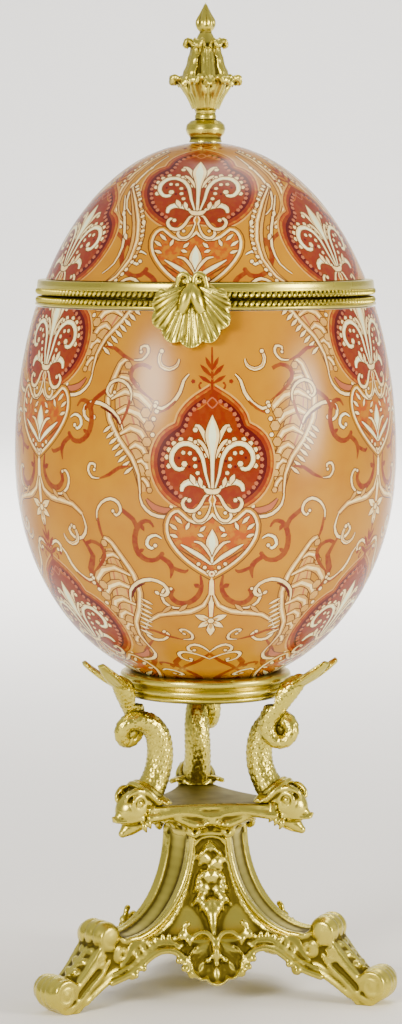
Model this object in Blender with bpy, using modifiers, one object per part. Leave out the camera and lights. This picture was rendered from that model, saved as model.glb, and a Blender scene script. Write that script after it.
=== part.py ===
"""Porcelain egg box with brass mounts, on a brass stand of three dolphins, 380 mm tall.

Metres, +Z up. The origin lies on the floor under the egg's axis. The shell clasp faces -Y and the
lid's hinge lies along X at the back. The stand is turned a little about the same axis.
Cast pieces are built from overlapping closed shapes that are fused into one surface.
"""

import math

import bmesh
import bpy
from mathutils import Matrix, Vector

MM = 0.001
GAP = 0.3 * MM

# Egg: two half ovals of revolution that share the widest circle; at a fullness of 2 they would be
# ellipses
EGG_RADIUS = 73.2 * MM
EGG_WIDEST_Z = 207.4 * MM
EGG_ABOVE = 119.7 * MM
EGG_BELOW = 88.7 * MM
EGG_FULLNESS = 2.06
EGG_WALL = 3.5 * MM
EGG_SEGMENTS = 36
EGG_LEVELS = 8

# Brass rims on the two porcelain edges
RIM_PARTING_Z = 269.0 * MM
BOWL_RIM_HEIGHT = 3.7 * MM
LID_RIM_HEIGHT = 5.9 * MM
RIM_OUTER_RADIUS = 65.2 * MM
RIM_INNER_RADIUS = 59.8 * MM

# Hinge at the back
HINGE_Y = 69.0 * MM
HINGE_KNUCKLE_RADIUS = 2.6 * MM
HINGE_HOLE_RADIUS = 1.3 * MM
HINGE_PIN_RADIUS = 1.0 * MM
HINGE_HALF_LENGTH = 13.0 * MM
HINGE_LID_HALF = 4.6 * MM
HINGE_LEAF = 1.5 * MM

# Clasp: a scallop shell that hangs from the lid's rim over the bowl's
CLASP_TOP_Z = 279.2 * MM
CLASP_APEX_Z = 274.4 * MM
CLASP_BOTTOM_Z = 251.4 * MM

# Shells, on the clasp and the apron: half angle of the fan, and how fast its sides draw in
SHELL_SPREAD = 72.0
SHELL_ROUNDNESS = 0.45
SHELL_LOBES = 5

# Finial
FINIAL_TOP_Z = 380.0 * MM
FINIAL_LEAVES = 6

# Stand: turn about the axis, and the azimuths of its three legs from its front
STAND_TURN = 11.8
LEG_AZIMUTHS = (60.0, 180.0, 300.0)
PANEL_AZIMUTHS = (0.0, 120.0, 240.0)

# Leg band: a quarter ellipse that sweeps from the column out to the knee
BAND_TOP_RADIUS = 13.0 * MM
BAND_TOP_Z = 63.3 * MM
BAND_END_RADIUS = 42.0 * MM
BAND_END_Z = 25.1 * MM
BAND_HALF_WIDTH = 8.3 * MM
KNEE_CENTRE = (51.0 * MM, 27.2 * MM)
KNEE_RADIUS = 5.8 * MM
TOE_CENTRE = (71.3 * MM, 7.8 * MM)
TOE_RADIUS = 6.6 * MM
FOOT_HALF_WIDTH = 6.2 * MM
ARCH_TOP_Z = 22.0 * MM
MOULDING_RADIUS = 1.25 * MM
PANEL_RECESS = 1.0 * MM
PANEL_THICKNESS = 4.5 * MM

# Garland down each panel: place along the panel and radius of each flower, then place of each
# pair of leaves and how far their tips stand to the side
GARLAND_FLOWERS = ((0.19, 4.2 * MM), (0.38, 4.6 * MM))
GARLAND_LEAVES = ((0.45, 5.4 * MM), (0.53, 5.0 * MM), (0.61, 3.6 * MM))

# Apron shells between the legs
APRON_TOP = (28.0 * MM, 23.5 * MM)
APRON_BOTTOM = (34.0 * MM, 7.8 * MM)
APRON_HALF_WIDTH = 11.0 * MM

# Platform that carries the dolphins
PLATFORM_TOP_Z = 75.1 * MM
PLATFORM_THICKNESS = 6.0 * MM
PLATFORM_CORNER_RADIUS = 31.0 * MM
PLATFORM_CORNER_HALF = 6.0 * MM
PLATFORM_SIDE_RADIUS = 17.0 * MM

# Support ring
RING_TOP_Z = 124.5 * MM
RING_BOTTOM_Z = 115.2 * MM
RING_OUTER_RADIUS = 33.0 * MM
RING_INNER_RADIUS = 25.2 * MM

# Dolphin: the path of its body and coiled tail, as millimetres out from the egg's axis, along the
# turn, up, and half thickness
DOLPHIN_HEAD = (34.8 * MM, 74.0 * MM)
DOLPHIN_HEAD_RADIUS = 7.6 * MM
DOLPHIN_PATH = (
    (31.0, 0.0, 76.5, 6.2),
    (26.6, 0.0, 80.6, 5.4),
    (23.2, 0.0, 87.2, 5.0),
    (22.2, 0.3, 94.2, 4.9),
    (23.4, 0.4, 101.0, 4.6),
    (26.8, -0.2, 105.6, 4.2),
    (31.4, -1.5, 107.2, 3.6),
    (35.6, -3.0, 106.2, 3.1),
    (37.2, -4.2, 102.8, 2.7),
    (35.2, -5.2, 99.6, 2.5),
    (31.4, -6.0, 99.4, 2.7),
    (28.6, -6.4, 102.4, 3.1),
    (28.4, -6.2, 106.6, 3.5),
    (30.4, -5.6, 111.0, 3.9),
    (33.4, -4.6, 115.6, 4.1),
    (36.6, -3.4, 119.6, 3.9),
    (39.8, -2.4, 122.6, 2.9),
)
FIN_ROOT = (38.0 * MM, -2.6 * MM, 121.4 * MM)
FIN_TIP = (53.0 * MM, -1.6 * MM, 129.2 * MM)

# How finely the castings are fused, and how many triangles each keeps
SPIKE_HEIGHT = 0.8 * MM
BASE_VOXEL = 0.8 * MM
FINE_VOXEL = 0.5 * MM
BASE_TRIANGLES = 2900
DOLPHIN_TRIANGLES = 560
FINIAL_TRIANGLES = 700
CLASP_TRIANGLES = 420

BRASS = ("brass", (0.56, 0.43, 0.13), 1.0, 0.32)
PORCELAIN = ("painted_porcelain", (0.80, 0.33, 0.06), 0.0, 0.12)


def clear_scene():
    for obj in list(bpy.data.objects):
        bpy.data.objects.remove(obj)


def new_collection(name):
    collection = bpy.data.collections.new(name)
    bpy.context.scene.collection.children.link(collection)
    return collection


def new_material(node, name, colour, metallic, roughness):
    material = bpy.data.materials.new(f"{node}_{name}")
    material.use_nodes = True
    shader = material.node_tree.nodes["Principled BSDF"]
    shader.inputs["Base Color"].default_value = (*colour, 1.0)
    shader.inputs["Metallic"].default_value = metallic
    shader.inputs["Roughness"].default_value = roughness
    return material


def add_object(name, data, collection, finish=None):
    obj = bpy.data.objects.new(name, data)
    collection.objects.link(obj)
    if finish:
        data.materials.clear()
        data.materials.append(new_material(name, *finish))
        data.shade_smooth()
        data.set_sharp_from_angle(angle=math.radians(40))
    return obj


def add_cutter(name, data, collection):
    """A shape that only cuts: it is hidden from the render and drawn as wire."""
    cutter = add_object(name, data, collection)
    cutter.hide_render = True
    cutter.display_type = "WIRE"
    return cutter


def mesh_from(bm, name):
    mesh = bpy.data.meshes.new(name)
    bm.to_mesh(mesh)
    bm.free()
    return mesh


def egg_radius(height):
    """Radius of the egg's outside at a height."""
    reach = EGG_ABOVE if height > EGG_WIDEST_Z else EGG_BELOW
    share = min(1.0, abs(height - EGG_WIDEST_Z) / reach)
    return EGG_RADIUS * (1.0 - share**EGG_FULLNESS) ** (1.0 / EGG_FULLNESS)


def egg_arc(start_z, end_z, inset, count):
    """Points (radius, height) down the egg from start_z to end_z, at a depth under its skin."""
    points = []
    for step in range(count + 1):
        points.append(egg_point(start_z, end_z, inset, step / count))
    return points


def egg_point(start_z, end_z, inset, share):
    """One point of egg_arc; equal shares are equal steps of the oval's own angle."""

    def angle_of(height):
        reach = EGG_ABOVE if height > EGG_WIDEST_Z else EGG_BELOW
        rise = (height - EGG_WIDEST_Z) / reach
        return math.copysign(math.asin(min(1.0, abs(rise)) ** (EGG_FULLNESS / 2.0)), rise)

    angle = angle_of(start_z) + (angle_of(end_z) - angle_of(start_z)) * share
    reach = EGG_ABOVE if angle > 0 else EGG_BELOW
    power = 2.0 / EGG_FULLNESS
    rise = math.copysign(abs(math.sin(angle)) ** power, angle)
    return (
        (EGG_RADIUS - inset) * max(0.0, math.cos(angle)) ** power,
        EGG_WIDEST_Z + (reach - inset) * rise,
    )


def profile_mesh(name, profile, closed):
    """The edges that a Screw turns, from (radius, height) points that run down its outer side."""
    bm = bmesh.new()
    verts = [bm.verts.new((radius, 0.0, height)) for radius, height in profile]
    pairs = list(zip(verts, verts[1:]))
    if closed:
        pairs.append((verts[-1], verts[0]))
    for first, second in pairs:
        bm.edges.new((first, second))
    return mesh_from(bm, name)


def turned(name, profile, collection, finish, segments=EGG_SEGMENTS, closed=False):
    obj = add_object(name, profile_mesh(name, profile, closed), collection, finish)
    screw = obj.modifiers.new("Turn", "SCREW")
    screw.steps = segments
    screw.render_steps = segments
    screw.use_merge_vertices = True
    screw.merge_threshold = 0.01 * MM
    screw.use_smooth_shade = True
    return obj


def evaluated_mesh(obj):
    graph = bpy.context.evaluated_depsgraph_get()
    return bpy.data.meshes.new_from_object(obj.evaluated_get(graph))


def smooth_path(points, steps):
    """A Catmull-Rom curve through points of any size, with steps between each two."""
    ends = [Vector(points[0]), *map(Vector, points), Vector(points[-1])]
    path = []
    for before, start, end, after in zip(ends, ends[1:], ends[2:], ends[3:]):
        for step in range(steps):
            t = step / steps
            path.append(
                0.5
                * (
                    2 * start
                    + (end - before) * t
                    + (2 * before - 5 * start + 4 * end - after) * t**2
                    + (3 * start - before - 3 * end + after) * t**3
                )
            )
    path.append(ends[-1])
    return path


class Casting:
    """Closed shapes that overlap where the cast piece joins them, fused into one at the end."""

    def __init__(self):
        self.bm = bmesh.new()
        self.place = Matrix()

    def take(self, mesh):
        mesh.transform(self.place)
        self.bm.from_mesh(mesh)
        bpy.data.meshes.remove(mesh)

    def ball(self, centre, radii, turn=None, segments=16):
        """An ellipsoid; turn is a rotation matrix about its centre."""
        bm = bmesh.new()
        size = Matrix.Diagonal((*radii, 1.0))
        spot = Matrix.Translation(centre) @ (turn or Matrix()) @ size
        bmesh.ops.create_uvsphere(
            bm, u_segments=segments, v_segments=segments // 2 + 2, radius=1.0, matrix=spot
        )
        self.take(mesh_from(bm, "ball"))

    def tube(self, points, radii, steps=4):
        """A round bar through points, with a radius at each, made as a bevelled curve."""
        rows = smooth_path([(*p, r) for p, r in zip(points, radii)], steps)
        curve = bpy.data.curves.new("tube", "CURVE")
        curve.dimensions = "3D"
        curve.bevel_depth = 1.0
        curve.bevel_resolution = 3
        curve.use_fill_caps = True
        spline = curve.splines.new("POLY")
        spline.points.add(len(rows) - 1)
        for point, (x, y, z, radius) in zip(spline.points, rows):
            point.co = (x, y, z, 1.0)
            point.radius = radius
        obj = bpy.data.objects.new("tube", curve)
        bpy.context.scene.collection.objects.link(obj)
        bm = bmesh.new()
        mesh = evaluated_mesh(obj)
        bm.from_mesh(mesh)
        bmesh.ops.remove_doubles(bm, verts=bm.verts, dist=0.001 * MM)
        bpy.data.meshes.remove(mesh)
        bpy.data.objects.remove(obj)
        self.take(mesh_from(bm, "tube"))

    def plate(self, shape, across, along, thickness, back=None):
        """A bent plate: shape(u, v) gives its face, for u from -1 to 1 and v from 0 to 1.

        Its thickness follows its own curve, or goes straight along a back vector.
        """
        bm = bmesh.new()
        bmesh.ops.create_grid(bm, x_segments=across, y_segments=along, size=1.0)
        for vert in bm.verts:
            vert.co = shape(vert.co.x, (vert.co.y + 1.0) / 2.0)
        bm.normal_update()
        normals = {vert.co.to_tuple(): vert.normal.copy() for vert in bm.verts}
        made = bmesh.ops.extrude_face_region(bm, geom=bm.faces[:])["geom"]
        for item in made:
            if isinstance(item, bmesh.types.BMVert):
                item.co += (back or normals[item.co.to_tuple()]) * thickness
        bmesh.ops.recalc_face_normals(bm, faces=bm.faces[:])
        self.take(mesh_from(bm, "plate"))

    def prism(self, outline, half_width):
        """An outline of (x, z) points given a thickness along Y; half_width(x) may taper."""
        bm = bmesh.new()
        face = bm.faces.new([bm.verts.new((x, -half_width(x), z)) for x, z in outline])
        bmesh.ops.triangulate(bm, faces=[face])
        made = bmesh.ops.extrude_face_region(bm, geom=bm.faces[:])["geom"]
        for item in made:
            if isinstance(item, bmesh.types.BMVert):
                item.co.y = half_width(item.co.x)
        bmesh.ops.recalc_face_normals(bm, faces=bm.faces[:])
        self.take(mesh_from(bm, "prism"))

    def slab(self, outline, low, high):
        """An outline of (x, y) points given a thickness along Z."""
        bm = bmesh.new()
        face = bm.faces.new([bm.verts.new((x, y, low)) for x, y in outline])
        bmesh.ops.triangulate(bm, faces=[face])
        made = bmesh.ops.extrude_face_region(bm, geom=bm.faces[:])["geom"]
        for item in made:
            if isinstance(item, bmesh.types.BMVert):
                item.co.z = high
        bmesh.ops.recalc_face_normals(bm, faces=bm.faces[:])
        self.take(mesh_from(bm, "slab"))

    def turn(self, profile, segments=32):
        """A solid turned about Z; the profile runs down from the axis and back to it."""
        bm = bmesh.new()
        verts = [bm.verts.new((radius, 0.0, height)) for radius, height in profile]
        edges = [bm.edges.new(pair) for pair in zip(verts, verts[1:])]
        bmesh.ops.spin(
            bm,
            geom=verts + edges,
            axis=(0, 0, 1),
            cent=(0, 0, 0),
            angle=math.tau,
            steps=segments,
            use_merge=True,
        )
        bmesh.ops.remove_doubles(bm, verts=bm.verts, dist=0.001 * MM)
        bmesh.ops.recalc_face_normals(bm, faces=bm.faces[:])
        self.take(mesh_from(bm, "turn"))

    def fused(self, voxel, triangles):
        """One closed mesh of everything added, thinned to a number of triangles."""
        obj = bpy.data.objects.new("casting", mesh_from(self.bm, "casting"))
        bpy.context.scene.collection.objects.link(obj)
        remesh = obj.modifiers.new("Fuse", "REMESH")
        remesh.mode = "VOXEL"
        remesh.voxel_size = voxel
        smooth = obj.modifiers.new("Soften", "SMOOTH")
        smooth.factor = 0.5
        smooth.iterations = 2
        fused = evaluated_mesh(obj)
        fused.calc_loop_triangles()
        thin = obj.modifiers.new("Thin", "DECIMATE")
        thin.ratio = triangles / len(fused.loop_triangles)
        thin.use_collapse_triangulate = True
        mesh = evaluated_mesh(obj)
        bpy.data.objects.remove(obj)
        tidy_casting(mesh)
        return mesh


def tidy_casting(mesh):
    """Drops the spikes that thinning leaves and the sealed bubbles that fusing can leave."""
    bm = bmesh.new()
    bm.from_mesh(mesh)
    for _ in range(2):
        spikes = []
        for vert in bm.verts:
            around = [edge.other_vert(vert).co for edge in vert.link_edges]
            middle = sum(around, Vector()) / len(around)
            if len(around) == 3 and (vert.co - middle).length > SPIKE_HEIGHT:
                spikes.append(vert)
        bmesh.ops.dissolve_verts(bm, verts=spikes)
    unseen = set(bm.verts)
    islands = []
    while unseen:
        island = {unseen.pop()}
        edge_of_island = list(island)
        while edge_of_island:
            for edge in edge_of_island.pop().link_edges:
                for vert in edge.verts:
                    if vert in unseen:
                        unseen.discard(vert)
                        island.add(vert)
                        edge_of_island.append(vert)
        islands.append(island)
    largest = max(islands, key=len)
    bmesh.ops.delete(bm, geom=[v for v in bm.verts if v not in largest], context="VERTS")
    bm.to_mesh(mesh)
    bm.free()


def cut_flat(mesh, height):
    """Cuts everything under a height away and closes the cut."""
    bm = bmesh.new()
    bm.from_mesh(mesh)
    bmesh.ops.bisect_plane(
        bm,
        geom=bm.verts[:] + bm.edges[:] + bm.faces[:],
        plane_co=(0, 0, height),
        plane_no=(0, 0, -1),
        clear_outer=True,
    )
    bmesh.ops.holes_fill(bm, edges=[e for e in bm.edges if e.is_boundary])
    bmesh.ops.triangulate(bm, faces=[f for f in bm.faces if len(f.verts) > 3])
    bm.to_mesh(mesh)
    bm.free()


def stand_frame(azimuth):
    """Local X points outwards at an azimuth from the stand's front, local Y along the turn."""
    return Matrix.Rotation(math.radians(azimuth + STAND_TURN - 90.0), 4, "Z")


def leg_in_panel(side, radius, offset, height):
    """A point of the leg on one side of a panel, in that panel's own frame."""
    turn = math.radians(60.0 * side)
    return Vector(
        (
            radius * math.cos(turn) - offset * math.sin(turn),
            radius * math.sin(turn) + offset * math.cos(turn),
            height,
        )
    )


def band_point(share):
    """(radius, height) on the leg's smooth band, from the column at 0 to the knee at 1."""
    angle = math.radians(90.0 * share)
    return (
        BAND_END_RADIUS - (BAND_END_RADIUS - BAND_TOP_RADIUS) * math.cos(angle),
        BAND_TOP_Z - (BAND_TOP_Z - BAND_END_Z) * math.sin(angle),
    )


def panel_point(share, across, depth=0.0):
    """A point of a panel in its own frame; the panel is straight across, between two bands."""
    if share > 1.0:
        x, _, z = panel_point(1.0, 0.0)
        drop = (share - 1.0) * (APRON_TOP[1] - APRON_BOTTOM[1])
        edge = panel_point(1.0, 1.0).y
        return Vector((x + 0.3 * drop - depth, across * edge, z - drop))
    radius, height = band_point(share)
    turn = math.radians(60.0)
    out = radius * math.cos(turn) + BAND_HALF_WIDTH * math.sin(turn)
    edge = radius * math.sin(turn) - BAND_HALF_WIDTH * math.cos(turn)
    return Vector((out - depth, across * edge, height))


def scallop(casting, top, bottom, lobes, dome, thickness):
    """A fan shell whose face looks along local +X; top and bottom are (x, z) on its middle."""
    down = Vector((bottom[0] - top[0], 0.0, bottom[1] - top[1]))
    length = down.length
    down.normalize()
    out = Vector((-down.z, 0.0, down.x))
    start = Vector((top[0], 0.0, top[1]))

    def face(u, v):
        angle = u * math.radians(SHELL_SPREAD)
        wave = abs(math.sin(lobes * math.pi * (u + 1.0) / 2.0))
        edge = length * math.cos(angle) ** SHELL_ROUNDNESS * (0.92 + 0.08 * wave)
        reach = edge * (0.06 + 0.94 * v)
        swell = dome * math.sin(math.pi * (0.1 + 0.8 * v)) + 0.07 * length * wave * v
        side = Vector((0.0, math.sin(angle) * reach, 0.0))
        return start + side + down * math.cos(angle) * reach + out * swell

    casting.plate(face, lobes * 6, 8, thickness, -out)


def leaf_plate(casting, path, half_width, curl, thickness, lobes=3):
    """A leaf along a path of (x, z) points, lobed at its sides and cupped along its middle."""
    spine = smooth_path([(x, 0.0, z) for x, z in path], 4)

    def face(u, v):
        place = v * (len(spine) - 1)
        index = min(int(place), len(spine) - 2)
        point = spine[index].lerp(spine[index + 1], place - index)
        swell = math.sin(math.pi * min(1.0, 0.12 + 0.86 * v)) ** 0.7
        lobe = 1.0 - 0.22 * abs(math.sin(math.pi * lobes * v))
        tangent = (spine[index + 1] - spine[index]).normalized()
        out = Vector((tangent.z, 0.0, -tangent.x))
        side = u * half_width * swell * lobe
        return point + Vector((0.0, side, 0.0)) - out * curl * u * u

    casting.plate(face, 6, 12, thickness)


def build_leg(casting):
    """One leg in its own frame: a tapered bracket, its band's edges, the knee and the toe."""
    band = [band_point(step / 12) for step in range(13)]
    knee_x, knee_z = KNEE_CENTRE
    toe_x, toe_z = TOE_CENTRE
    shin = smooth_path(
        [
            (knee_x, knee_z + 0.4 * KNEE_RADIUS),
            (knee_x + 1.05 * KNEE_RADIUS, knee_z - 0.9 * KNEE_RADIUS),
            (0.45 * knee_x + 0.55 * toe_x, 0.4 * knee_z + 0.6 * toe_z),
            (toe_x - 0.75 * TOE_RADIUS, toe_z + 0.55 * TOE_RADIUS),
        ],
        3,
    )
    sole = [
        (toe_x + 0.6 * TOE_RADIUS, toe_z - 0.7 * TOE_RADIUS),
        (toe_x - 0.2 * TOE_RADIUS, -1.0 * MM),
        (toe_x - 1.7 * TOE_RADIUS, -1.0 * MM),
    ]
    underside = smooth_path(
        [
            (toe_x - 2.0 * TOE_RADIUS, 3.4 * MM),
            (knee_x, 8.2 * MM),
            (40.0 * MM, 12.0 * MM),
            (33.5 * MM, 18.0 * MM),
            (26.5 * MM, ARCH_TOP_Z),
            (19.0 * MM, ARCH_TOP_Z + 1.0 * MM),
        ],
        3,
    )
    hub = [(0.0, ARCH_TOP_Z + 1.0 * MM), (0.0, BAND_TOP_Z + 4.0 * MM)]
    top = [(BAND_TOP_RADIUS, BAND_TOP_Z + 4.0 * MM)]

    def half_width(x):
        share = min(1.0, max(0.0, (x - BAND_TOP_RADIUS) / (toe_x - BAND_TOP_RADIUS)))
        return BAND_HALF_WIDTH + (FOOT_HALF_WIDTH - BAND_HALF_WIDTH) * share

    outline = top + band + [tuple(p) for p in shin] + sole + [tuple(p) for p in underside] + hub
    casting.prism(outline, half_width)
    for side in (-1, 1):
        edge = [(r, side * half_width(r), z) for r, z in band]
        casting.tube(edge, [MOULDING_RADIUS] * len(edge), 1)
        rib = [(r, side * half_width(r), z + 0.8 * MOULDING_RADIUS) for r, z in underside[:-3]]
        casting.tube(rib, [MOULDING_RADIUS] * len(rib), 1)
        volute = (TOE_RADIUS * 0.62, 1.4 * MM, TOE_RADIUS * 0.62)
        casting.ball((toe_x, side * (FOOT_HALF_WIDTH + 0.4 * MM), toe_z), volute)
        knuckle = (KNEE_RADIUS * 0.55, 1.6 * MM, KNEE_RADIUS * 0.55)
        casting.ball((knee_x - 4.5 * MM, side * half_width(knee_x), knee_z - 5.5 * MM), knuckle)
        casting.ball((knee_x + 5.0 * MM, side * half_width(knee_x), knee_z - 9.0 * MM), knuckle)
        scroll = (2.3 * MM, 1.7 * MM, 2.3 * MM)
        casting.ball((40.5 * MM, side * half_width(40.5 * MM), 12.5 * MM), scroll)
    across = (-FOOT_HALF_WIDTH + 1.5 * MM, 0.0, FOOT_HALF_WIDTH - 1.5 * MM)
    knob = [(knee_x, y, knee_z) for y in across]
    casting.tube(knob, [0.8 * KNEE_RADIUS, KNEE_RADIUS, 0.8 * KNEE_RADIUS])
    toe = [(toe_x, y, toe_z) for y in across]
    casting.tube(toe, [0.9 * TOE_RADIUS, TOE_RADIUS, 0.9 * TOE_RADIUS])


def build_rosette(casting, share, radius):
    """A five-petalled flower on the middle of a panel."""
    centre = panel_point(share, 0.0, PANEL_RECESS)
    below = panel_point(share + 0.02, 0.0, PANEL_RECESS)
    down = (below - centre).normalized()
    out = Vector((-down.z, 0.0, down.x))
    side = Vector((0.0, 1.0, 0.0))
    casting.ball(centre + out * 0.32 * radius, (0.42 * radius,) * 3, segments=10)
    for petal in range(5):
        angle = math.tau * petal / 5
        spot = centre + (side * math.sin(angle) - down * math.cos(angle)) * 0.64 * radius
        casting.ball(spot + out * 0.1 * radius, (0.42 * radius,) * 3, segments=10)


def build_panel(casting):
    """One panel in its own frame: recessed field, garland, C-scrolls, apron shell and arches."""
    start, reach = -0.09, 1.22

    def field(u, v):
        return panel_point(start + (reach - start) * v, u * 0.97, PANEL_RECESS)

    casting.plate(field, 4, 16, PANEL_THICKNESS)
    for share, radius in GARLAND_FLOWERS:
        build_rosette(casting, share, radius)
    for share, spread in GARLAND_LEAVES:
        for side in (-1, 1):
            root = panel_point(share, 0.0, 0.2 * MM)
            tip = panel_point(share + 0.1, 0.0, 0.0) + Vector((0.0, side * spread, 0.0))
            casting.tube([root, root.lerp(tip, 0.55), tip], [1.2 * MM, 1.9 * MM, 0.8 * MM], 2)
    stem = [panel_point(s, 0.0, 0.2 * MM) for s in (0.5, 0.68, 0.86)]
    casting.tube(stem, [1.9 * MM, 1.6 * MM, 1.0 * MM], 2)
    top = Vector((APRON_TOP[0], 0.0, APRON_TOP[1]))
    for side in (-1, 1):
        scroll = [
            top + Vector((2.2, side * 0.6, -1.0)) * MM,
            top + Vector((0.6, side * 2.4, 3.2)) * MM,
            top + Vector((0.2, side * 5.6, 4.2)) * MM,
            top + Vector((1.0, side * 8.2, 1.6)) * MM,
            top + Vector((2.0, side * 8.6, -1.6)) * MM,
        ]
        casting.tube(scroll, [1.0 * MM, 1.1 * MM, 1.0 * MM, 1.2 * MM, 1.8 * MM], 3)
        casting.ball(top + Vector((4.0, side * 4.0, -5.0)) * MM, (1.7 * MM,) * 3, segments=10)
        start = Vector((APRON_BOTTOM[0] - 2.2 * MM, side * APRON_HALF_WIDTH, 13.5 * MM))
        arch = [
            start,
            start + Vector((-1.6 * MM, side * 1.0 * MM, 4.2 * MM)),
            panel_point(1.1, side * 0.52),
            leg_in_panel(side, 28.5 * MM, -side * BAND_HALF_WIDTH, ARCH_TOP_Z),
            leg_in_panel(side, 34.0 * MM, -side * BAND_HALF_WIDTH, 18.6 * MM),
        ]
        casting.tube(arch, [1.7 * MM] + [MOULDING_RADIUS] * 4, 4)
    drop = top + Vector((3.4, 0.0, -3.5)) * MM
    casting.ball(drop, (1.9 * MM, 1.7 * MM, 3.6 * MM), segments=10)
    scallop(casting, APRON_TOP, APRON_BOTTOM, SHELL_LOBES, 1.6 * MM, 3.0 * MM)
    for bead in (-1, 0, 1):
        spot = panel_point(0.03, 0.42 * bead, -0.4 * MM)
        casting.ball(spot, (1.5 * MM, 1.9 * MM, 1.5 * MM), segments=10)


def platform_outline(grow=0.0):
    """The platform's edge: three corners over the legs joined by hollow sides."""
    corner = Vector((PLATFORM_CORNER_RADIUS + grow, PLATFORM_CORNER_HALF + grow))
    turn = math.radians(60.0)
    out = corner.x * math.cos(turn) + corner.y * math.sin(turn)
    side = corner.x * math.sin(turn) - corner.y * math.cos(turn)
    control = 2.0 * (PLATFORM_SIDE_RADIUS + grow) - out
    points = []
    for azimuth in PANEL_AZIMUTHS:
        spin = Matrix.Rotation(math.radians(azimuth), 2)
        for step in range(9):
            t = step / 8
            x = out * ((1 - t) ** 2 + t**2) + 2 * control * t * (1 - t)
            points.append(spin @ Vector((x, side * (2 * t - 1))))
    return points


def build_stand_base(collection):
    casting = Casting()
    for azimuth in LEG_AZIMUTHS:
        casting.place = stand_frame(azimuth)
        build_leg(casting)
    for azimuth in PANEL_AZIMUTHS:
        casting.place = stand_frame(azimuth)
        build_panel(casting)
    casting.place = stand_frame(0.0)
    low = PLATFORM_TOP_Z - PLATFORM_THICKNESS
    casting.slab(platform_outline(-1.2 * MM), low, PLATFORM_TOP_Z)
    edge = [(x, y, PLATFORM_TOP_Z - 0.45 * PLATFORM_THICKNESS) for x, y in platform_outline()]
    edge = [*edge, edge[0], edge[1]]
    casting.tube([Vector(p) for p in edge], [0.36 * PLATFORM_THICKNESS] * len(edge), 1)
    neck = [(0.0, low + 1.0 * MM), (19.5 * MM, low + 1.0 * MM), (15.0 * MM, low - 3.0 * MM)]
    casting.turn([*neck, (13.6 * MM, low - 8.0 * MM), (0.0, low - 8.0 * MM)])
    mesh = casting.fused(BASE_VOXEL, BASE_TRIANGLES)
    cut_flat(mesh, 0.0)
    flatten_top(mesh, PLATFORM_TOP_Z)
    add_object("stand_base", mesh, collection, BRASS)


def flatten_top(mesh, height):
    """Cuts everything over a height away, so that the face there is true."""
    mesh.transform(Matrix.Scale(-1.0, 4, (0, 0, 1)))
    mesh.flip_normals()
    cut_flat(mesh, -height + 0.1 * MM)
    mesh.transform(Matrix.Scale(-1.0, 4, (0, 0, 1)))
    mesh.flip_normals()


def dolphin_mesh():
    """A dolphin in its own frame: head down and outwards, coiled tail up against the ring."""
    casting = Casting()
    path = [(x * MM, y * MM, z * MM) for x, y, z, _ in DOLPHIN_PATH]
    casting.tube(path, [half * MM for *_, half in DOLPHIN_PATH], 4)
    head_x, head_z = DOLPHIN_HEAD
    size = DOLPHIN_HEAD_RADIUS
    nod = Matrix.Rotation(math.radians(38), 4, "Y")
    casting.ball((head_x, 0.0, head_z), (1.08 * size, 0.86 * size, 0.92 * size), nod)
    casting.tube(
        [
            (head_x + 0.2 * size, 0.0, head_z - 0.1 * size),
            (head_x + 0.75 * size, 0.0, head_z - 0.35 * size),
            (head_x + 1.08 * size, 0.0, head_z - 0.48 * size),
        ],
        [0.62 * size, 0.36 * size, 0.16 * size],
    )
    casting.tube(
        [
            (head_x - 0.3 * size, 0.0, head_z - 0.7 * size),
            (head_x + 0.3 * size, 0.0, head_z - 1.05 * size),
            (head_x + 0.72 * size, 0.0, head_z - 1.36 * size),
        ],
        [0.55 * size, 0.36 * size, 0.18 * size],
    )
    collar_x = head_x - 0.72 * size
    collar_z = head_z + 0.52 * size
    tilt = math.radians(47)
    ring = []
    for step in range(13):
        angle = math.tau * step / 12
        lift = 0.98 * size * math.cos(angle)
        ring.append(
            (
                collar_x + lift * math.cos(tilt),
                0.92 * size * math.sin(angle),
                collar_z + lift * math.sin(tilt),
            )
        )
    casting.tube(ring, [0.2 * size] * len(ring), 1)
    for side in (-1, 1):
        eye = (head_x + 0.12 * size, side * 0.72 * size, head_z + 0.38 * size)
        casting.ball(eye, (0.3 * size, 0.24 * size, 0.3 * size), segments=10)
        brow = [
            (eye[0] - 0.45 * size, side * 0.68 * size, eye[2] - 0.1 * size),
            (eye[0] - 0.1 * size, side * 0.7 * size, eye[2] + 0.42 * size),
            (eye[0] + 0.45 * size, side * 0.62 * size, eye[2] + 0.2 * size),
        ]
        casting.tube(brow, [0.12 * size, 0.19 * size, 0.12 * size])
        build_dolphin_fins(casting, side, collar_x, collar_z)
    mesh = casting.fused(FINE_VOXEL, DOLPHIN_TRIANGLES)
    return mesh


def build_dolphin_fins(casting, side, collar_x, collar_z):
    """The side fin behind the head, and one lobe of the tail fin."""

    def breast(u, v):
        spread = 2.8 * MM * math.sin(math.pi * (0.25 + 0.68 * v))
        reach = (3.5 + 7.0 * v) * MM
        dip = 2.2 * MM * v
        return Vector((collar_x - 1.2 * MM - dip + u * spread, side * reach, collar_z - dip))

    casting.plate(breast, 4, 6, 1.7 * MM * side)
    root = Vector(FIN_ROOT)
    along = Vector(FIN_TIP) - root

    def tail(u, v):
        middle = root + along * v + Vector((0.0, side * (1.2 + 4.3 * v) * MM, 0.0))
        spread = 3.3 * MM * math.sin(math.pi * (0.22 + 0.7 * v))
        curl = Vector((-0.42, 0.0, 0.9)) * (2.4 * v * v * MM)
        return middle + curl + Vector((-0.25, 0.93 * side, 0.3)) * u * spread

    casting.plate(tail, 4, 8, 2.0 * MM * side)


def cut_by(obj, cutter):
    cut = obj.modifiers.new(f"Cut by {cutter.name}", "BOOLEAN")
    cut.operation = "DIFFERENCE"
    cut.solver = "EXACT"
    cut.object = cutter


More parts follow.
